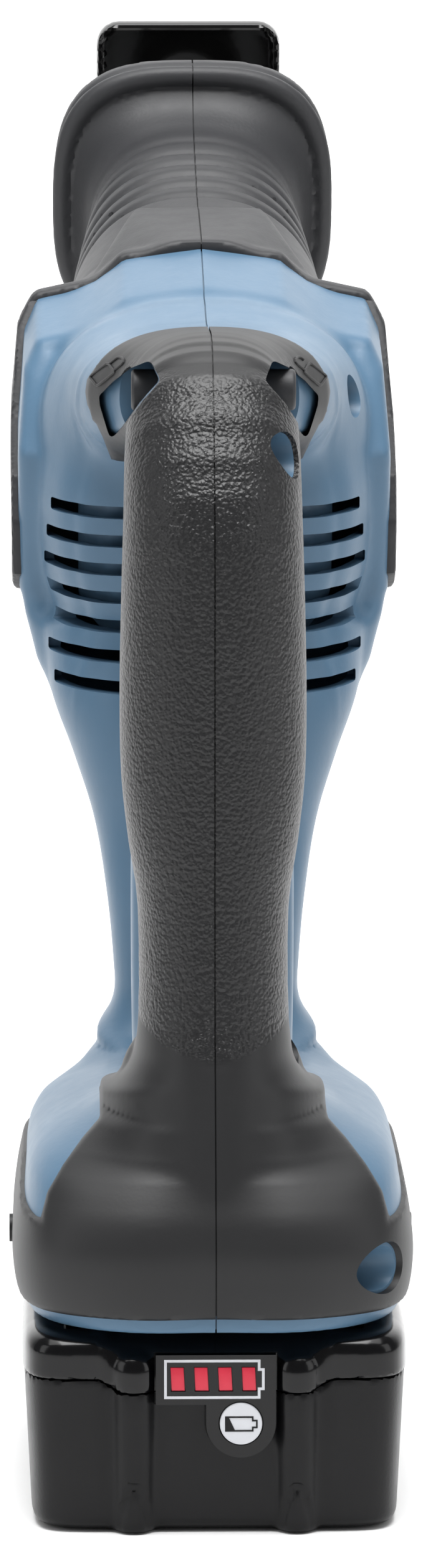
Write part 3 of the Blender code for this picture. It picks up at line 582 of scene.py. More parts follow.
def grained_rubber():
    """The grip's rubber: a pebbled grain on the handle that stops in a curve above the foot."""
    look = Look("grip_rubber")
    x, y, z = look.node("SeparateXYZ", {0: look.place}).outputs
    bend = look.math("MULTIPLY", look.math("MULTIPLY", x, x), GRAIN_BEND)
    low = look.math("SUBTRACT", z, look.math("ADD", bend, GRAIN_LOW))
    low = look.math("MULTIPLY", low, GRAIN_LOW_FADE, clamp=True)
    top = look.math("SUBTRACT", GRAIN_TOP, z)
    top = look.math("MULTIPLY", top, GRAIN_TOP_FADE, clamp=True)
    front = look.math("SUBTRACT", GRAIN_FRONT, y)
    front = look.math("MULTIPLY", front, GRAIN_FRONT_FADE, clamp=True)
    mask = look.math("MULTIPLY", look.math("MULTIPLY", low, top), front)
    warp = {0: look.noise(900.0, output="Color"), 1: (0.0007, 0.0007, 0.0007), 2: look.place}
    shift = look.node("VectorMath", warp, operation="MULTIPLY_ADD").outputs[0]
    cells = look.node(
        "TexVoronoi", {"Vector": shift, "Scale": 1350.0, "Smoothness": 0.7}, feature="SMOOTH_F1"
    )
    pebble = look.math("MULTIPLY", cells.outputs["Distance"], -1.0)
    grain = look.math("MULTIPLY_ADD", look.noise(800.0, 3.0, 0.6), 0.8, pebble)
    grain = look.math("MULTIPLY", grain, mask)
    height = look.math("MULTIPLY_ADD", look.noise(1500.0), 0.05, grain)
    drift = look.noise(60.0, 3.0)
    return look.surface({
        "Base Color": look.ramp(drift, (0.0062, 0.0063, 0.0070), (0.0095, 0.0097, 0.0106)),
        "Roughness": look.span(mask, 0.50, 0.40),
        "Normal": look.bump(height, 0.00027),
        "Specular IOR Level": 0.4,
    })


BLUE = moulded("blue_plastic", (0.064, 0.124, 0.192), (0.075, 0.141, 0.215), (0.33, 0.44),
               shine=0.28)
GRIP = grained_rubber()
RUBBER = moulded("boot_rubber", (0.021, 0.0215, 0.0235), (0.027, 0.0275, 0.0300), (0.44, 0.58),
                 1300.0, 0.00004, shine=0.35)
GLOSS = moulded("gloss_black", (0.001, 0.001, 0.0014), (0.002, 0.002, 0.0026), (0.13, 0.22),
                1100.0, 0.000008, 0.1, shine=0.25)
SATIN = moulded("satin_black", (0.0022, 0.0022, 0.0026), (0.0042, 0.0042, 0.0048), (0.30, 0.42),
                1400.0, 0.00003, shine=0.22)
SHOE = moulded("shoe_black", (0.001, 0.001, 0.001), (0.002, 0.002, 0.002), (0.08, 0.16),
               900.0, 0.000006, 0.1, shine=0.3)
STEEL = moulded("steel", (0.42, 0.42, 0.43), (0.52, 0.52, 0.53), (0.24, 0.38), 1500.0,
                0.00002, 0.0, 1.0)
CAST = moulded("cast_metal", (0.36, 0.37, 0.38), (0.45, 0.46, 0.47), (0.42, 0.58), 1100.0,
               0.00006, 0.0, 1.0)
BRASS = moulded("brass", (0.52, 0.38, 0.14), (0.62, 0.46, 0.18), (0.28, 0.40), 1400.0,
                0.00001, 0.0, 1.0)
BOARD = moulded("board_green", (0.012, 0.10, 0.04), (0.02, 0.14, 0.06), (0.4, 0.55), 900.0)
RED = moulded("lamp_red", (0.50, 0.008, 0.032), (0.62, 0.014, 0.045), (0.34, 0.46), 700.0)
WHITE = moulded("print_white", (0.50, 0.51, 0.54), (0.60, 0.61, 0.64), (0.42, 0.55), 900.0)
CLEAR = moulded("lens_clear", (0.70, 0.74, 0.78), (0.80, 0.83, 0.86), (0.06, 0.12), 500.0,
                0.000004, 1.0)


# ---------------- the saw's outer form


BODY = (
    (-28.0, 12.0, 12.0, -16.0),
    (-25.5, 21.0, 22.0, -26.0),
    (-20.0, 27.5, 29.5, -33.5),
    (-11.0, 32.3, 35.0, -39.0),
    (-1.0, 35.0, 37.8, -42.0),
    (12.0, 36.8, 38.7, -43.0),
    (32.0, 37.4, 38.0, -41.0),
    (60.0, 36.4, 35.6, -36.5),
)
# The angular section of the body where the boot grips it, as (x, v) of one side
SHOULDER = (
    (0.0, 37.2), (15.4, 34.8), (20.6, 29.2), (33.2, 26.4), (35.2, 22.6), (36.4, 8.0),
    (36.2, -20.0), (31.5, -33.0), (18.0, -38.5), (0.0, -39.5),
)
STRUT = (
    (58.0, 38.0, 17.0, 18.0),
    (70.0, 43.0, 17.6, 16.5),
    (80.0, 46.5, 18.0, 15.0),
    (93.0, 48.5, 18.8, 14.5),
    (110.0, 51.5, 20.4, 15.5),
    (126.0, 57.5, 23.3, 19.5),
    (137.0, 63.0, 27.0, 25.0),
    (150.0, 70.0, 31.8, 30.0),
    (163.0, 76.0, 33.4, 31.0),
)
FOOT = (
    (40.3, 0.0, 36.4, 56.6),
    (43.5, 0.0, 37.6, 58.0),
    (50.0, 0.0, 38.6, 59.3),
    (58.0, 0.0, 38.0, 59.0),
    (64.0, 0.0, 36.9, 55.8),
    (69.0, 0.5, 35.8, 51.0),
    (73.0, 2.0, 33.0, 45.0),
    (77.0, 4.0, 26.0, 36.0),
    (80.0, 6.0, 17.0, 26.0),
)
# The blue edge that shows beside the handle's rubber, in the same form as the strut
SPINE = (
    (70.0, -19.0, 15.4, 8.0),
    (84.0, -19.0, 15.6, 8.0),
    (100.0, -19.0, 15.9, 8.0),
    (120.0, -19.0, 16.0, 8.0),
    (146.0, -19.0, 15.8, 8.0),
)
GRIP_PATH = smooth_path(
    (
        (-30.5, 42.0, 20.5, 29.4),
        (-29.8, 60.0, 18.6, 28.2),
        (-29.0, 78.0, 16.2, 24.8),
        (-28.4, 97.0, 14.0, 20.4),
        (-28.5, 119.0, 13.8, 18.8),
        (-28.5, 132.0, 15.6, 18.8),
        (-28.5, 145.0, 17.0, 19.0),
        (-28.5, 160.0, 17.3, 19.2),
        (-28.5, 178.0, 17.0, 19.4),
        (-27.0, 195.0, 16.5, 19.4),
        (-20.0, 210.0, 16.0, 16.0),
        (-7.0, 216.0, 14.2, 12.3),
        (8.0, 215.8, 17.5, 12.2),
        (20.0, 215.0, 22.0, 12.6),
        (34.0, 213.6, 26.0, 13.6),
        (60.0, 212.0, 30.0, 16.0),
    ),
    3,
)


def both_sides(points):
    """A closed outline from the points of its right side, top to bottom."""
    return [*points, *[(-x, v) for x, v in reversed(points) if x > 0.0]]


def core(x, y, z, grow=0.0):
    """The whole housing without its openings, moved out by grow."""
    u, v = tool_axes(y, z)
    dome = axial(BODY, x, u, v, grow, 2.35, edge=2.0)
    angular = polygon_field(x, v, both_sides(SHOULDER)) - 2.0 - grow
    rear = 13.0 - 17.0 * np.clip((27.0 - v) / 17.0, 0.0, 1.0)
    angular = carve(angular, rear - grow - u, 5.0)
    angular = carve(angular, u - 49.0 - grow, 1.0)
    dome = carve(dome, u - 50.0 - grow, 2.0)
    body = blend(dome, angular, 2.5)
    strut = upright(STRUT, x, y, z, grow, 2.5, 2.0)
    foot = upright(FOOT, x, y, z, grow, 5.0)
    handle = swept(GRIP_PATH, x, y, z, grow, 2.35)
    spine = upright(SPINE, x, y, z, grow, 3.5, 2.0)
    reach = 14.0 - 11.0 * np.exp(-((x / 12.0) ** 2))
    lower = blend(blend(handle, strut, 3.0), foot, reach)
    lower = blend(lower, spine, 1.2)
    lower = carve(lower, FOOT[0][0] - z, 1.0)
    return blend(lower, body, 7.0)


# ---------------- blue shells


WALL = 2.4
SLOT_TOP = 189.8  # height of the first slot at its outer end
SLOT_PITCH = 6.05
SLOT_HALF = 1.3
SLOT_Y = 57.0
SLOT_TILT = math.radians(3.0)
SLOT_ENDS = (31.6, 32.5, 33.0, 33.1, 32.8, 32.2, 31.0)
WINDOW_FLOOR = 9.0
BUTTON_Y, BUTTON_Z = 2.0, 217.5  # the lock-off button's axis
SIGHT = 0.085  # fall of the windows' cut per millimetre forward
# The opening beside the top of the handle, as (x, z at y = 0) of the right side
WINDOW = (
    (10.1, 219.6), (11.9, 223.6), (15.6, 222.0), (19.0, 219.4), (21.9, 216.4), (21.7, 214.4),
    (19.6, 207.4), (17.2, 210.4), (14.0, 215.2),
)


# y and z of the screws' bores, which all open on the right, and the x where each one ends
BORE_RADIUS, BOSS_RADIUS, BORE_MOUTH = 4.4, 6.8, 70.0
BORES = ((-54.0, 52.0, 17.0), (47.0, 78.0, 14.0), (84.9, 160.2, 27.0), (52.8, 211.6, 12.0),
         (-34.0, 208.0, 7.0))


def shell_field(x, y, z):
    d = core(x, y, z)
    crown = box_field(x, y, z, (-40, -14, 204), (40, 46, 240))
    hollow = carve(d + WALL, -crown, 1.5)
    for bore_y, bore_z, _ in BORES:
        boss = np.sqrt((y - bore_y) ** 2 + (z - bore_z) ** 2) - BOSS_RADIUS
        hollow = carve(hollow, -np.maximum(boss, 2.0 - x), 0.5)
    return carve(d, -hollow, 0.6)


def tool_block(name, low, high, bevel):
    """A block given in tool-axis coordinates: x, u and v."""
    obj = cube(name, low, high, bevel, 2)
    turn = Matrix.Translation((0.0, AXIS_Y * MM, AXIS_Z * MM)) @ Matrix.Rotation(TILT, 4, "X")
    obj.data.transform(turn)
    return obj


def rod(name, radius, start, end, sides=40):
    """A cylinder between two points."""
    bm = bmesh.new()
    start, end = Vector(start), Vector(end)
    bmesh.ops.create_cone(
        bm, cap_ends=True, segments=sides, radius1=radius, radius2=radius,
        depth=(end - start).length,
    )
    turn = (end - start).to_track_quat("Z", "Y").to_matrix().to_4x4()
    place = Matrix.Translation((start + end) / 2) @ turn
    bmesh.ops.transform(bm, matrix=place, verts=bm.verts)
    return from_bmesh(name, bm)


def window_cutter(side, front):
    """A sheared prism through the opening beside the handle."""
    outline = rounded([(x * side, z) for x, z in WINDOW], 1.2, 4)
    cutter = plate("window", outline, -60.0, front)
    for vert in cutter.data.vertices:
        vert.co.z -= vert.co.y * SIGHT
    return cutter


def bore(obj, radius, y, z, end):
    """A round hole from the right side in to x = end."""
    cut(obj, rod("bore", radius, (end, y, z), (BORE_MOUTH, y, z)))


def button_way(obj, radius):
    cut(obj, rod("way", radius, (-40, BUTTON_Y, BUTTON_Z), (40, BUTTON_Y, BUTTON_Z)))


def cut_shell(shell):
    """The openings that show the inside of the housing."""
    for i, reach in enumerate(SLOT_ENDS):
        place = Vector((0.0, SLOT_Y, SLOT_TOP - SLOT_PITCH * i)) * MM
        turn = Matrix.Translation(place) @ Matrix.Rotation(SLOT_TILT, 4, "X")
        for side in (-1.0, 1.0):
            ends = sorted((15.5 * side, reach * side))
            slot = cube("slot", (ends[0], -40.0, -SLOT_HALF), (ends[1], 8.0, SLOT_HALF), 0.45)
            slot.data.transform(turn)
            cut(shell, slot)
    for side in (-1.0, 1.0):
        cut(shell, window_cutter(side, WINDOW_FLOOR))
    cut(shell, cube("way", (-29.3, -46.0, 30.0), (29.3, 90.0, 59.5), 0.8))
    cut(shell, cube("trigger_way", (-8.1, -20.0, 165.5), (8.1, 14.0, 202.5), 1.0))
    button_way(shell, 4.5)
    cut(shell, rod("lens_way", 3.6, (0, 70, 140), (0, 120, 140)))
    for y, z, depth in BORES:
        bore(shell, BORE_RADIUS, y, z, depth)
    return shell


def make_shell():
    shell = net("shell", shell_field, (-44, -64, 36), (44, 132, 248), 1.15)
    cut_shell(shell)
    two_sides(shell, BLUE, "housing")


def baffle_field(x, y, z):
    """The inner wall behind the air slots."""
    u, v = tool_axes(y, z)
    d = axial(BODY, x, u, v, -5.2, 2.35, edge=2.0)
    d = carve(d, -axial(BODY, x, u, v, -7.2, 2.35, edge=2.0), 0.4)
    d = carve(d, u + 4.0, 0.4)
    return carve(d, np.abs(x) - 26.0, 0.5)


# ---------------- rubber skins


PROUD = 0.9  # how far the rubber stands above the blue
SUNK = 1.3  # how deep it is set in
# The rubber's outline round the top of the handle, as (x, z at y = 0) of the right side
CROWN = (
    (0.0, 229.4), (8.5, 228.7), (13.5, 227.5), (18.4, 225.4), (22.0, 222.9), (24.2, 219.8),
    (24.6, 217.2), (24.2, 214.6), (22.8, 211.6), (21.0, 207.8), (19.4, 203.6), (18.8, 198.0),
    (18.4, 190.0), (0.0, 188.0),
)
# The outline of the rubber on the foot below the handle, as (x, z at y = 0)
HEEL = (
    (0.0, 92.0), (15.0, 88.0), (17.6, 84.0), (22.2, 80.6), (22.2, 71.7), (25.6, 67.7),
    (29.4, 62.3), (32.5, 56.9), (33.6, 52.5), (33.6, 20.0), (0.0, 20.0),
)
# Front edge of the rubber along the handle, as (y, z)
GRIP_EDGE = (
    (-90.0, 86.0), (-31.0, 86.0), (-32.0, 97.5), (-31.0, 104.0), (-27.0, 117.0),
    (-26.0, 140.0), (-24.5, 196.0), (-20.0, 203.0), (6.0, 206.5), (22.0, 209.0), (22.0, 240.0),
    (-90.0, 240.0),
)


def rubber_mask(x, y, z):
    """Negative where the housing is covered by the grip's and the foot's rubber."""
    handle = polygon_field(y, z, GRIP_EDGE)
    high = z + SIGHT * y
    crown = polygon_field(x, high, both_sides(CROWN))
    crown = carve(crown, 200.0 - z, 0.5)
    low = z + 0.19 * y
    heel = polygon_field(x, low, both_sides(HEEL))
    heel = carve(heel, y + 4.0, 0.5)
    band = z - (65.0 + 0.086 * np.minimum(y, 0.0))
    band = carve(band, y - 48.0, 0.5)
    mask = blend(blend(handle, crown, 0.6), blend(heel, band, 0.8), 0.8)
    return carve(mask, 43.3 - z, 0.3)


def rubber_field(x, y, z):
    d = core(x, y, z)
    layer = carve(d - PROUD, -(d + SUNK), 0.5)
    return carve(layer, rubber_mask(x, y, z), 0.8)


def make_rubber():
    skin = net("rubber", rubber_field, (-44, -66, 36), (44, 80, 250), 0.9)
    for side in (-1.0, 1.0):
        cut(skin, window_cutter(side, 40.0))
    cut(skin, cube("trigger_way", (-9.0, -20.0, 164.0), (9.0, 14.0, 204.0), 1.0))
    button_way(skin, 4.6)
    bore(skin, 5.1, -54.0, 52.0, 8.0)
    for y, z in ((-34.0, 208.0), (-27.0, 92.0)):
        bore(skin, 4.6, y, z, 4.0)
    two_sides(skin, GRIP, "grip_rubber", "foot_rubber")


# Outline of the rubber on the body's side, as (u, v)
PAD = (
    (62.0, 29.0), (43.0, 28.0), (25.0, 8.5), (5.0, 2.5), (-1.0, -6.0), (-1.5, -17.0),
    (5.0, -22.5), (62.0, -24.0),
)


def pad_field(x, y, z):
    u, v = tool_axes(y, z)
    d = core(x, y, z)
    layer = carve(d - 1.5, -(d + SUNK), 0.5)
    mask = polygon_field(u, v, PAD)
    mask = carve(mask, 30.0 - np.abs(x), 0.5)
    mask = carve(mask, u - 43.2, 0.3)
    return carve(layer, mask, 0.8)


def make_pads():
    pads = net("pad", pad_field, (-44, 50, 150), (44, 130, 240), 0.8)
    bore(pads, 5.0, 84.9, 160.2, 8.0)
    two_sides(pads, RUBBER, "side_pad")


# ---------------- boot


BOOT = (
    (50.0, 33.0, 33.0, -36.5),
    (60.0, 33.0, 33.4, -36.4),
    (70.0, 32.2, 33.6, -35.6),
    (80.0, 30.6, 33.7, -34.6),
    (95.0, 28.6, 33.8, -33.8),
    (114.0, 27.2, 33.8, -32.6),
    (126.0, 24.9, 33.9, -17.0),
    (140.0, 23.4, 34.0, -14.4),
    (149.0, 24.0, 35.0, -15.0),
    (155.0, 25.8, 37.6, -16.0),
    (159.0, 28.6, 41.8, -17.6),
    (161.5, 30.6, 44.4, -18.6),
    (166.0, 31.0, 44.9, -19.0),
)
GEARCASE = (
    (50.0, 32.4, 31.4, -31.4),
    (64.0, 32.4, 31.4, -31.4),
    (73.0, 29.4, 30.9, -31.4),
    (84.0, 26.9, 30.9, -31.4),
    (112.0, 25.4, 30.9, -30.4),
    (123.0, 22.4, 30.9, -13.4),
    (150.0, 20.9, 30.9, -11.9),
    (170.0, 18.9, 29.9, -10.9),
)
# The raised panel on top of the boot, as (x, u) of the right side
PANEL = ((0.0, 84.5), (13.6, 83.0), (24.0, 48.0), (24.0, 40.0), (0.0, 40.0))
COLLAR_REAR = 43.6
RIM_MIDDLE = 13.2
RIM_HALF_WIDTH = 29.1
RIM_HALF_HEIGHT = 29.9
RIM_PLACE = 158.6
RIM_RADIUS = 2.2
RIBS = (100.0, 108.0, 116.0, 124.0, 132.0, 140.0)


def boot_field(x, y, z):
    u, v = tool_axes(y, z)
    power = 2.3 + 0.7 * np.clip((u - 146.0) / 12.0, 0.0, 1.0)
    neck = axial(BOOT, x, u, v, 0.0, power, edge=0.6)
    # shallow grooves across the top and the flanks of the neck
    crest = np.exp(-(((u - 118.0) / 23.0) ** 6))
    wave = sum(np.exp(-(((u - rib) / 1.5) ** 2)) for rib in RIBS)
    reach = np.clip((v - 8.0) / 9.0, 0.0, 1.0)
    neck = neck + 1.15 * wave * crest * reach
    # the scooped back of the flange, and its rolled rim
    ring = oval(x, v - RIM_MIDDLE, RIM_HALF_WIDTH, RIM_HALF_HEIGHT, 2.9)
    rim = np.sqrt(ring * ring + (u - RIM_PLACE) ** 2) - RIM_RADIUS
    neck = blend(neck, rim, 1.0)
    # the angular collar over the body
    shrink = 1.0 - 0.24 * np.clip((u - 47.0) / 26.0, 0.0, 1.0)
    grown = polygon_field(x / shrink, v / shrink, both_sides(SHOULDER)) - 3.1
    collar = carve(grown * shrink, COLLAR_REAR - u, 1.6)
    collar = carve(collar, u - 68.0, 5.0)
    hump = 40.9 - 0.125 * (u - 44.0)
    panel = np.maximum(v - hump, 10.0 - v)
    panel = carve(panel, polygon_field(x, u, both_sides(PANEL)), 1.2)
    panel = carve(panel, np.abs(x) * 0.55 + v - 44.5, 2.0)
    panel = carve(panel, COLLAR_REAR - u, 1.6)
    d = blend(blend(neck, collar, 4.0), panel, 1.0)
    inner = core(x, y, z) + 1.2
    inner = carve(inner, u - 60.5, 0.5)
    bore = axial(GEARCASE, x, u, v, 0.0, 2.5, high=180.0)
    return carve(d, -blend(inner, bore, 0.5), 0.5)


def make_boot():
    boot = net("boot", boot_field, (-44, 92, 150), (44, 236, 282), 0.9)
    key = tool_block("key", (-7.5, 126.5, -40.0), (7.5, 141.5, -8.0), 1.0)
    cut(boot, key)
    left, right = halves(boot)
    piece(left, "tool", RUBBER, "front_boot")
    piece(right, "tool", RUBBER)


# ---------------- details on the handle


def make_lock_button():
    """The lock-off button: a bar across the handle, with a hollow in its right end."""
    bar = rod("lock_button", 4.1, (-15.6, BUTTON_Y, BUTTON_Z), (16.9, BUTTON_Y, BUTTON_Z), 48)
    bevel_edges(
        bar, lambda edge: any(len(face.verts) > 4 for face in edge.link_faces), 0.8, 4
    )
    hollow = [(BUTTON_Y + y, BUTTON_Z + z) for y, z in rounded(
        ((-2.9, -1.4), (-1.4, -2.8), (2.2, -2.6), (2.9, 0.6), (2.0, 2.6), (-2.4, 2.0)), 0.9)]
    pit = plate("pit", hollow, 13.6, 18.0)
    # plate() stands in x and z, so its x becomes y here and its y becomes x
    pit.data.transform(Matrix(((0, 1, 0, 0), (1, 0, 0, 0), (0, 0, 1, 0), (0, 0, 0, 1))))
    pit.data.flip_normals()
    cut(bar, pit)
    piece(bar, "lock_off_button", RUBBER, "lock_off_button")


BEAD_SIDES = 8


def tube(name, points, radius, closed=False):
    """A thin round bead along points, as a mesh in metres."""
    bm = bmesh.new()
    count = len(points)
    rings = []
    for i, here in enumerate(points):
        here = Vector(here)
        before = Vector(points[i - 1]) if closed or i else here
        after = Vector(points[(i + 1) % count]) if closed or i < count - 1 else here
        along = (after - before).normalized()
        across = along.cross(Vector((0.0, 1.0, 0.0)))
        if across.length < 0.1:
            across = along.cross(Vector((1.0, 0.0, 0.0)))
        across.normalize()
        up = along.cross(across)
        ring = []
        for j in range(BEAD_SIDES):
            turn = 2 * math.pi * j / BEAD_SIDES
            ring.append(bm.verts.new(
                here + (across * math.cos(turn) + up * math.sin(turn)) * radius))
        rings.append(ring)
    spans = zip(rings, rings[1:] + rings[:1]) if closed else zip(rings, rings[1:])
    for near, far in spans:
        for j in range(BEAD_SIDES):
            k = (j + 1) % BEAD_SIDES
            bm.faces.new((near[j], near[k], far[k], far[j]))
    if not closed:
        bm.faces.new(rings[0][::-1])
        bm.faces.new(rings[-1])
    return from_bmesh(name, bm)


SIGHT_START, SIGHT_END, SIGHT_STEP = -80.0, 80.0, 0.25


def on_surface(x, z, offset):
    """The first place where a line of sight from behind meets the housing, moved out."""
    ys = np.arange(SIGHT_START, SIGHT_END, SIGHT_STEP)
    values = core(np.full_like(ys, x), ys, z - SIGHT * ys) - offset
    first = np.nonzero(values < 0)[0][0]
    share = values[first] / (values[first] - values[first - 1])
    y = ys[first] - SIGHT_STEP * share
    return (x, y, z - SIGHT * y)


MARK_SCALE = 1.3
MARK_BEAD = 0.3
MARK_X, MARK_Z, MARK_TILT = 19.0, 222.4, math.radians(38.0)


def make_lock_marks():
    """A closed padlock on the left ear and an open one on the right, as thin raised beads."""
    for side, word in SIDES:
        centre = Vector((MARK_X * side, 0.0, MARK_Z))
        along = Vector((math.cos(MARK_TILT) * side, 0.0, -math.sin(MARK_TILT)))
        across = Vector((math.sin(MARK_TILT) * side, 0.0, math.cos(MARK_TILT)))

        def spot(a, b):
            flat = centre + (along * a + across * b) * MARK_SCALE
            return on_surface(flat.x, flat.z, PROUD + 0.05)

        body = rounded(((0.4, -0.9), (3.9, -0.9), (3.9, 0.9), (0.4, 0.9)), 0.35, 3)
        shackle = [(0.4, -0.6), (-1.2, -0.6)]
        shackle += [(-1.2 + 0.6 * math.cos(t), 0.6 * math.sin(t))
                    for t in np.linspace(-1.57, -4.71, 7)][1:]
        shackle += [(0.4, 0.6)] if side < 0 else [(-0.7, 0.6)]
        bead = tube(f"mark_{word}", [spot(a, b) for a, b in body], MARK_BEAD, True)
        loop = tube("loop", [spot(a, b) for a, b in shackle], MARK_BEAD)
        join_meshes(bead, loop)
        piece(bead, "tool", GRIP)


def make_nubs():
    """A small round nub on each side of the foot."""
    for side, word in SIDES:
        nub = rod(f"nub_{word}", 2.8, (38.0 * side, 0.0, 49.5), (40.2 * side, 0.0, 49.5))
        piece(nub, "tool", GRIP)


def join_meshes(obj, other):
    """Puts the other's mesh into obj's and removes the other."""
    bm = bmesh.new()
    bm.from_mesh(obj.data)
    bm.from_mesh(other.data)
    bm.to_mesh(obj.data)
    bm.free()
    bpy.data.objects.remove(other)


# ---------------- battery


PARTING = 30.5
PILLAR_X = 15.8
PILLAR_RADIUS = 4.3
CASE_GAP = 0.25
CASE_HALF_X, CASE_HALF_Y, CASE_POWER = 37.5, 57.3, 11.0
CASE_DRAFT = 1.5  # how much narrower the case is at the floor
CASE_TOP = 39.9
SCOOP_LOW, SCOOP_RISE = 36.4, 0.62  # height at the rear, and rise per millimetre forward
SHOULDER_TOP = 39.4
ARCH_TOP = 10.0


def parting(x):
    """Height of the line between the two cases, which dips at the pillars."""
    return PARTING - 2.4 * np.clip((22.6 - np.abs(x)) / 4.2, 0.0, 1.0) ** 0.8


def case_field(x, y, z):
    """Both battery cases as one form."""
    low = CASE_DRAFT * (1.0 - np.clip(z, 0.0, PARTING) / PARTING)
    d = oval(x, y, CASE_HALF_X - low, CASE_HALF_Y - low, CASE_POWER)
    d = carve(d, -z, 2.6)
    # two shoulders stand higher than the scoop between them
    scoop = SCOOP_LOW + SCOOP_RISE * np.maximum(y + 56.5, 0.0)
    scoop = np.minimum(scoop, CASE_TOP)
    shoulder = np.clip((np.abs(x) - 19.4) / 3.6, 0.0, 1.0)
    top = scoop + (SHOULDER_TOP - scoop) * shoulder * np.clip((-20.0 - y) / 20.0, 0.0, 1.0)
    d = carve(d, z - np.minimum(top, CASE_TOP), 4.2)
    # a shallow channel down each side of both pillars
    mid = np.abs(x) - PILLAR_X
    channel = np.sqrt((np.abs(mid) - 5.2) ** 2 + (y + 58.6) ** 2) - 1.9
    d = carve(d, -channel, 1.4)
    reach = np.maximum(z - 32.0, 0.0)
    sink = 1.0 * np.clip((24.0 - z) / 24.0, 0.0, 1.0)
    pillar = np.sqrt(mid * mid + (y + 54.8 - sink) ** 2 + reach * reach) - PILLAR_RADIUS
    pillar = carve(pillar, -z, 1.2)
    d = blend(d, pillar, 0.8)
    # a pointed arch is cut into the foot of each pillar
    t = np.clip(z / ARCH_TOP, 0.0, 1.0)
    bow = 3.5 - 3.1 * t ** 1.6
    width = 1.25 - 0.6 * t
    rear = -58.6 - 0.5 * t
    groove = np.sqrt((np.abs(mid) - bow) ** 2 + ((y - rear) * 0.6) ** 2) - width
    groove = carve(groove, z - ARCH_TOP, 0.4)
    return carve(d, -groove, 0.3)


TAB_X, TAB_Z, TAB_RADIUS = 4.85, 22.3, 6.75  # the round tab that holds the check button
GAUGE_HALF, GAUGE_LOW, GAUGE_HIGH = 11.6, 26.0, 35.8
LAMPS = [-7.4 + 4.6 * i for i in range(4)]
LAMP_LOW, LAMP_HIGH, LAMP_HALF, LAMP_LEAN = 28.75, 33.35, 1.3, 0.12


def gauge_outline(grow):
    """The gauge's outline in x and z: a wide bar with a round tab at its lower right."""
    side, radius = GAUGE_HALF + grow, TAB_RADIUS + grow
    low, high = GAUGE_LOW - grow, GAUGE_HIGH + grow
    tab = arc((TAB_X, TAB_Z), radius, 180.0, 360.0, 24)
    return [(-side, low), (TAB_X - radius, low), *tab, (side, high), (-side, high)]


def battery_upper_field(x, y, z):
    d = case_field(x, y, z)
    d = carve(d, parting(x) + CASE_GAP - z, 0.5)
    tongue = box_field(x, y, z, (-29.0, -45.0, 36.0), (29.0, 54.0, 57.0), 1.2)
    d = blend(d, tongue, 0.6)
    groove = np.maximum(np.abs(z - 44.9) - 2.0, 26.0 - np.abs(x))
    d = carve(d, -groove, 0.4)
    hollow = np.maximum(oval(x, y, 33.4, 52.5, CASE_POWER) + 0.4, z - 33.8)
    inside = box_field(x, y, z, (-24.0, -42.0, 30.0), (24.0, 38.0, 54.8), 1.0)
    d = carve(d, -blend(hollow, inside, 0.3), 0.5)
    slots = box_field(np.abs(x), y, z, (9.8, -50.0, 49.0), (14.2, -12.0, 70.0))
    pocket = box_field(x, y, z, (-13.4, 40.0, 43.0), (13.4, 70.0, 54.4))
    return carve(d, -np.minimum(slots, pocket), 0.3)


def battery_lower_field(x, y, z):
    d = case_field(x, y, z) + 0.3
    d = carve(d, z - parting(x), 0.4)
    hollow = np.maximum(oval(x, y, 34.0, 53.0, CASE_POWER) + 0.4, 1.8 - z)
    return carve(d, -hollow, 0.5)


def make_battery():
    upper = net("battery_top_case", battery_upper_field, (-40, -62, 26), (40, 60, 60), 0.8)
    lower = net("battery_bottom_case", battery_lower_field, (-40, -62, -2), (40, 60, 32), 0.8)
    for case in (upper, lower):
        cut(case, plate("pocket", gauge_outline(0.25), -66.0, -55.8))
    piece(upper, "battery", GLOSS, "battery_upper_case")
    piece(lower, "battery", SATIN, "battery_lower_case")

    panel = plate("gauge_bezel", gauge_outline(0.0), -58.35, -56.0, 0.45, 3)
    for x in LAMPS:
        cut(panel, plate("window", lamp_outline(x, 0.12), -66.0, -57.3))
    cut(panel, rod("hole", 4.35, (TAB_X, -66.0, TAB_Z), (TAB_X, -50.0, TAB_Z), 64))
    piece(panel, "battery", GLOSS, "gauge_panel")
    for i, x in enumerate(LAMPS, 1):
        lamp = plate(f"lamp_{i}", lamp_outline(x, 0.0), -58.2, -57.4, 0.15, 2)
        piece(lamp, "battery", RED, f"charge_light_{i}")
    outline = ((-9.75, 27.45), (8.35, 27.45), (8.35, 29.15), (9.15, 29.15), (9.15, 32.95),
               (8.35, 32.95), (8.35, 34.65), (-9.75, 34.65))
    line = frame_line("gauge_line", outline, 0.26, -58.42, -58.1)
    piece(line, "battery", WHITE)

    cap = rod("check_cap", 4.1, (TAB_X, -59.0, TAB_Z), (TAB_X, -57.3, TAB_Z), 64)
    bevel_edges(cap, lambda edge: all(v.co.y < -58.9 * MM for v in edge.verts), 0.35, 3)
    piece(cap, "check_button", WHITE, "check_button")
    icon = ((1.9, 21.0), (7.1, 21.0), (7.1, 21.65), (7.9, 21.65), (7.9, 23.0), (7.1, 23.0),
            (7.1, 23.7), (1.9, 23.7))
    mark = frame_line("check_mark", icon, 0.16, -59.08, -58.8)
    wedge = plate("wedge", ((1.95, 21.05), (3.7, 21.05), (2.5, 23.6), (1.95, 23.6)),
                  -59.08, -58.8)
    solid(mark, wedge, "UNION")
    piece(mark, "check_button", SATIN)


def lamp_outline(x, grow):
    """One lamp's outline, which leans a little."""
    half, low, high = LAMP_HALF + grow, LAMP_LOW - grow, LAMP_HIGH + grow
    return ((x - half - LAMP_LEAN, high), (x - half + LAMP_LEAN, low),
            (x + half + LAMP_LEAN, low), (x + half - LAMP_LEAN, high))


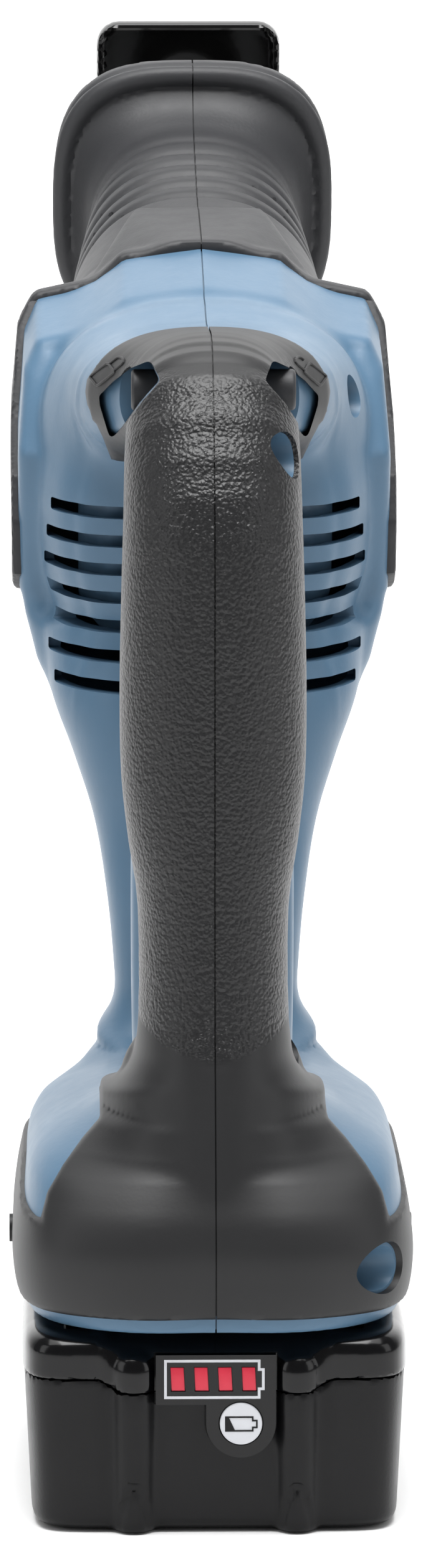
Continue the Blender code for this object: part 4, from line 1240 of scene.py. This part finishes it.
def frame_line(name, outline, half, rear, front):
    """A closed line of a given half width along an outline in x and z."""
    count = len(outline)
    rims = []
    for way in (-1.0, 1.0):
        rim = []
        for i in range(count):
            before, here = Vector(outline[i - 1]), Vector(outline[i])
            after = Vector(outline[(i + 1) % count])
            a, b = (here - before).normalized(), (after - here).normalized()
            na, nb = Vector((-a.y, a.x)), Vector((-b.y, b.x))
            miter = (na + nb) / (1.0 + na.dot(nb))
            rim.append(here + miter * half * way)
        rims.append(rim)
    bm = bmesh.new()
    layers = []
    for y in (rear, front):
        layers.append([[bm.verts.new((p.x, y, p.y)) for p in rim] for rim in rims])
    for i in range(count):
        j = (i + 1) % count
        (inner0, outer0), (inner1, outer1) = layers
        bm.faces.new((inner0[i], inner0[j], outer0[j], outer0[i]))
        bm.faces.new((inner1[i], outer1[i], outer1[j], inner1[j]))
        bm.faces.new((inner0[i], inner1[i], inner1[j], inner0[j]))
        bm.faces.new((outer0[i], outer0[j], outer1[j], outer1[i]))
    return from_bmesh(name, bm)


# ---------------- shoe


SHOE_HALF, SHOE_TOP, SHOE_BOTTOM, SHOE_CORNER = 21.0, 37.0, -21.0, 5.2
SHOE_U = 223.3
PIVOT_U, PIVOT_V = 212.0, -5.8


def shoe_field(x, y, z):
    """The shoe plate: a pressed tray with a low rim towards the saw, and the blade's slot."""
    u, v = tool_axes(y, z)
    middle, tall = (SHOE_TOP + SHOE_BOTTOM) / 2, (SHOE_TOP - SHOE_BOTTOM) / 2
    px = np.abs(x) - (SHOE_HALF - SHOE_CORNER)
    pz = np.abs(v - middle) - (tall - SHOE_CORNER)
    flat = np.sqrt(np.maximum(px, 0) ** 2 + np.maximum(pz, 0) ** 2)
    flat = flat + np.minimum(np.maximum(px, pz), 0.0) - SHOE_CORNER
    base = carve(flat, np.abs(u - SHOE_U) - 1.2, 0.5)
    rim = carve(flat, -(flat + 1.2), 0.4)
    rim = carve(rim, np.abs(u - 222.6) - 1.9, 0.4)
    rim = carve(rim, 4.0 - v, 3.0)
    d = blend(base, rim, 0.6)
    slot = box_field(x, u, v, (-5.0, 200.0, 3.0), (5.0, 240.0, 25.0), 2.0)
    d = carve(d, -slot, 0.6)
    lug = box_field(np.abs(x), u, v, (8.0, 206.0, -11.8), (10.5, 223.0, 0.2), 0.8)
    d = blend(d, lug, 0.6)
    hole = np.sqrt((u - PIVOT_U) ** 2 + (v - PIVOT_V) ** 2) - 2.3
    return carve(d, -hole, 0.2)


def make_shoe():
    shoe = net("shoe_tray", shoe_field, (-24, 265, 210), (24, 296, 282), 0.7)
    piece(shoe, "shoe", SHOE, "shoe_plate")


make_shell()
piece(net("baffle", baffle_field, (-30, 30, 130), (30, 70, 215), 0.8), "tool", BLUE)
make_rubber()
make_pads()
make_boot()
make_lock_button()
make_lock_marks()
make_nubs()
make_battery()
make_shoe()


# ---------------- CAD nodes that stay


STAYING = {
    STEEL: (
        "screw_grip_top", "screw_grip_low", "screw_foot_rear", "screw_strut", "screw_body_low",
        "screw_body_top", "rotor_shaft", "rear_rotor_bearing", "front_rotor_bearing", "pinion",
        "crank_gear", "crank_shaft", "crank_bearing", "crank_pin", "plunger", "yoke",
        "blade_clamp_body", "shoe_stem", "shoe_pivot_pin", "cell_pack",
    ),
    CAST: ("motor_stator", "rotor_core", "gear_housing", "gear_housing_cover"),
    BRASS: ("rear_plunger_bush", "front_plunger_bush", "terminal_left", "terminal_right"),
    SATIN: (
        "cooling_fan", "plunger_seal", "blade_clamp_sleeve", "shoe_lock_button", "trigger",
        "switch_body", "terminal_block", "release_button",
    ),
    BOARD: ("controller_board", "battery_board"),
    CLEAR: ("work_light_lens",),
}
for material, names in STAYING.items():
    for name in names:
        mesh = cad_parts[name].data
        mesh.materials.clear()
        mesh.materials.append(material)


# ---------------- stage


def plain(name, colour, rough):
    look = Look(name)
    darker = tuple(c * 0.985 for c in colour)
    drift = look.noise(1.5, 1.0)
    return look.surface({"Base Color": look.ramp(drift, darker, colour), "Roughness": rough})


def aim(obj, place, ahead):
    """Puts a light or a camera in its place, looking ahead."""
    obj.location = place
    obj.rotation_mode = "QUATERNION"
    obj.rotation_quaternion = ahead.to_track_quat("-Z", "Y")


def area_light(name, place, target, size, power, height=None):
    data = bpy.data.lights.new(name, "AREA")
    data.shape = "RECTANGLE"
    data.size = size
    data.size_y = height or size
    data.energy = power
    aim(place_object(name, data), place, Vector(target) - Vector(place))


BACKDROP_Y = 1100.0
BACKDROP_CURVE = 500.0
BACKDROP_TOP = 1500.0


def stage():
    """A pale floor that curves up into a backdrop, and a soft studio light."""
    bm = bmesh.new()
    profile = [(-2600.0, 0.0), (BACKDROP_Y - BACKDROP_CURVE, 0.0)]
    for i in range(1, 17):
        turn = math.radians(90.0 * i / 16)
        profile.append((BACKDROP_Y - BACKDROP_CURVE + BACKDROP_CURVE * math.sin(turn),
                        BACKDROP_CURVE * (1.0 - math.cos(turn))))
    profile.append((BACKDROP_Y, BACKDROP_TOP))
    rows = [[bm.verts.new((x, y, z)) for x in (-2600.0, 2600.0)] for y, z in profile]
    for near, far in zip(rows, rows[1:]):
        bm.faces.new((near[0], near[1], far[1], far[0]))
    floor = from_bmesh("floor", bm)
    floor.data.shade_smooth()
    floor.data.materials.append(plain("floor_pale", (0.93, 0.93, 0.93), 0.8))
    world = bpy.data.worlds.new("studio")
    world.use_nodes = True
    sky = world.node_tree.nodes["Background"]
    sky.inputs["Color"].default_value = (1.0, 1.0, 1.0, 1.0)
    sky.inputs["Strength"].default_value = 0.25
    bpy.context.scene.world = world
    bpy.context.scene.view_settings.view_transform = "Standard"
    centre = (0.0, 0.08, 0.15)
    area_light("top", (0.0, -0.25, 1.35), centre, 0.8, 20.0)
    area_light("left", (-1.1, -0.45, 0.55), centre, 0.5, 2.6, height=0.9)
    area_light("right", (1.1, -0.45, 0.55), centre, 0.5, 2.6, height=0.9)
    area_light("back", (0.0, 0.15, 1.6), (0.0, 1.1, 0.5), 1.6, 26.0)


CAMERA_PLACE = (-0.0285, -1.5432, 0.356)
CAMERA_AZIMUTH, CAMERA_DOWN, CAMERA_LENS = math.radians(1.1), math.radians(8.0), 180.0


def camera():
    """A long lens a little above the saw and a little to its left, behind the battery."""
    azimuth, down = CAMERA_AZIMUTH, CAMERA_DOWN
    data = bpy.data.cameras.new("camera")
    data.sensor_width = 36.0
    data.lens = CAMERA_LENS
    data.clip_start = 0.1
    data.clip_end = 20.0
    ahead = Vector(
        (math.sin(azimuth) * math.cos(down), math.cos(azimuth) * math.cos(down), -math.sin(down))
    )
    bpy.context.scene.camera = place_object("camera", data)
    aim(bpy.context.scene.camera, CAMERA_PLACE, ahead)


stage()
camera()
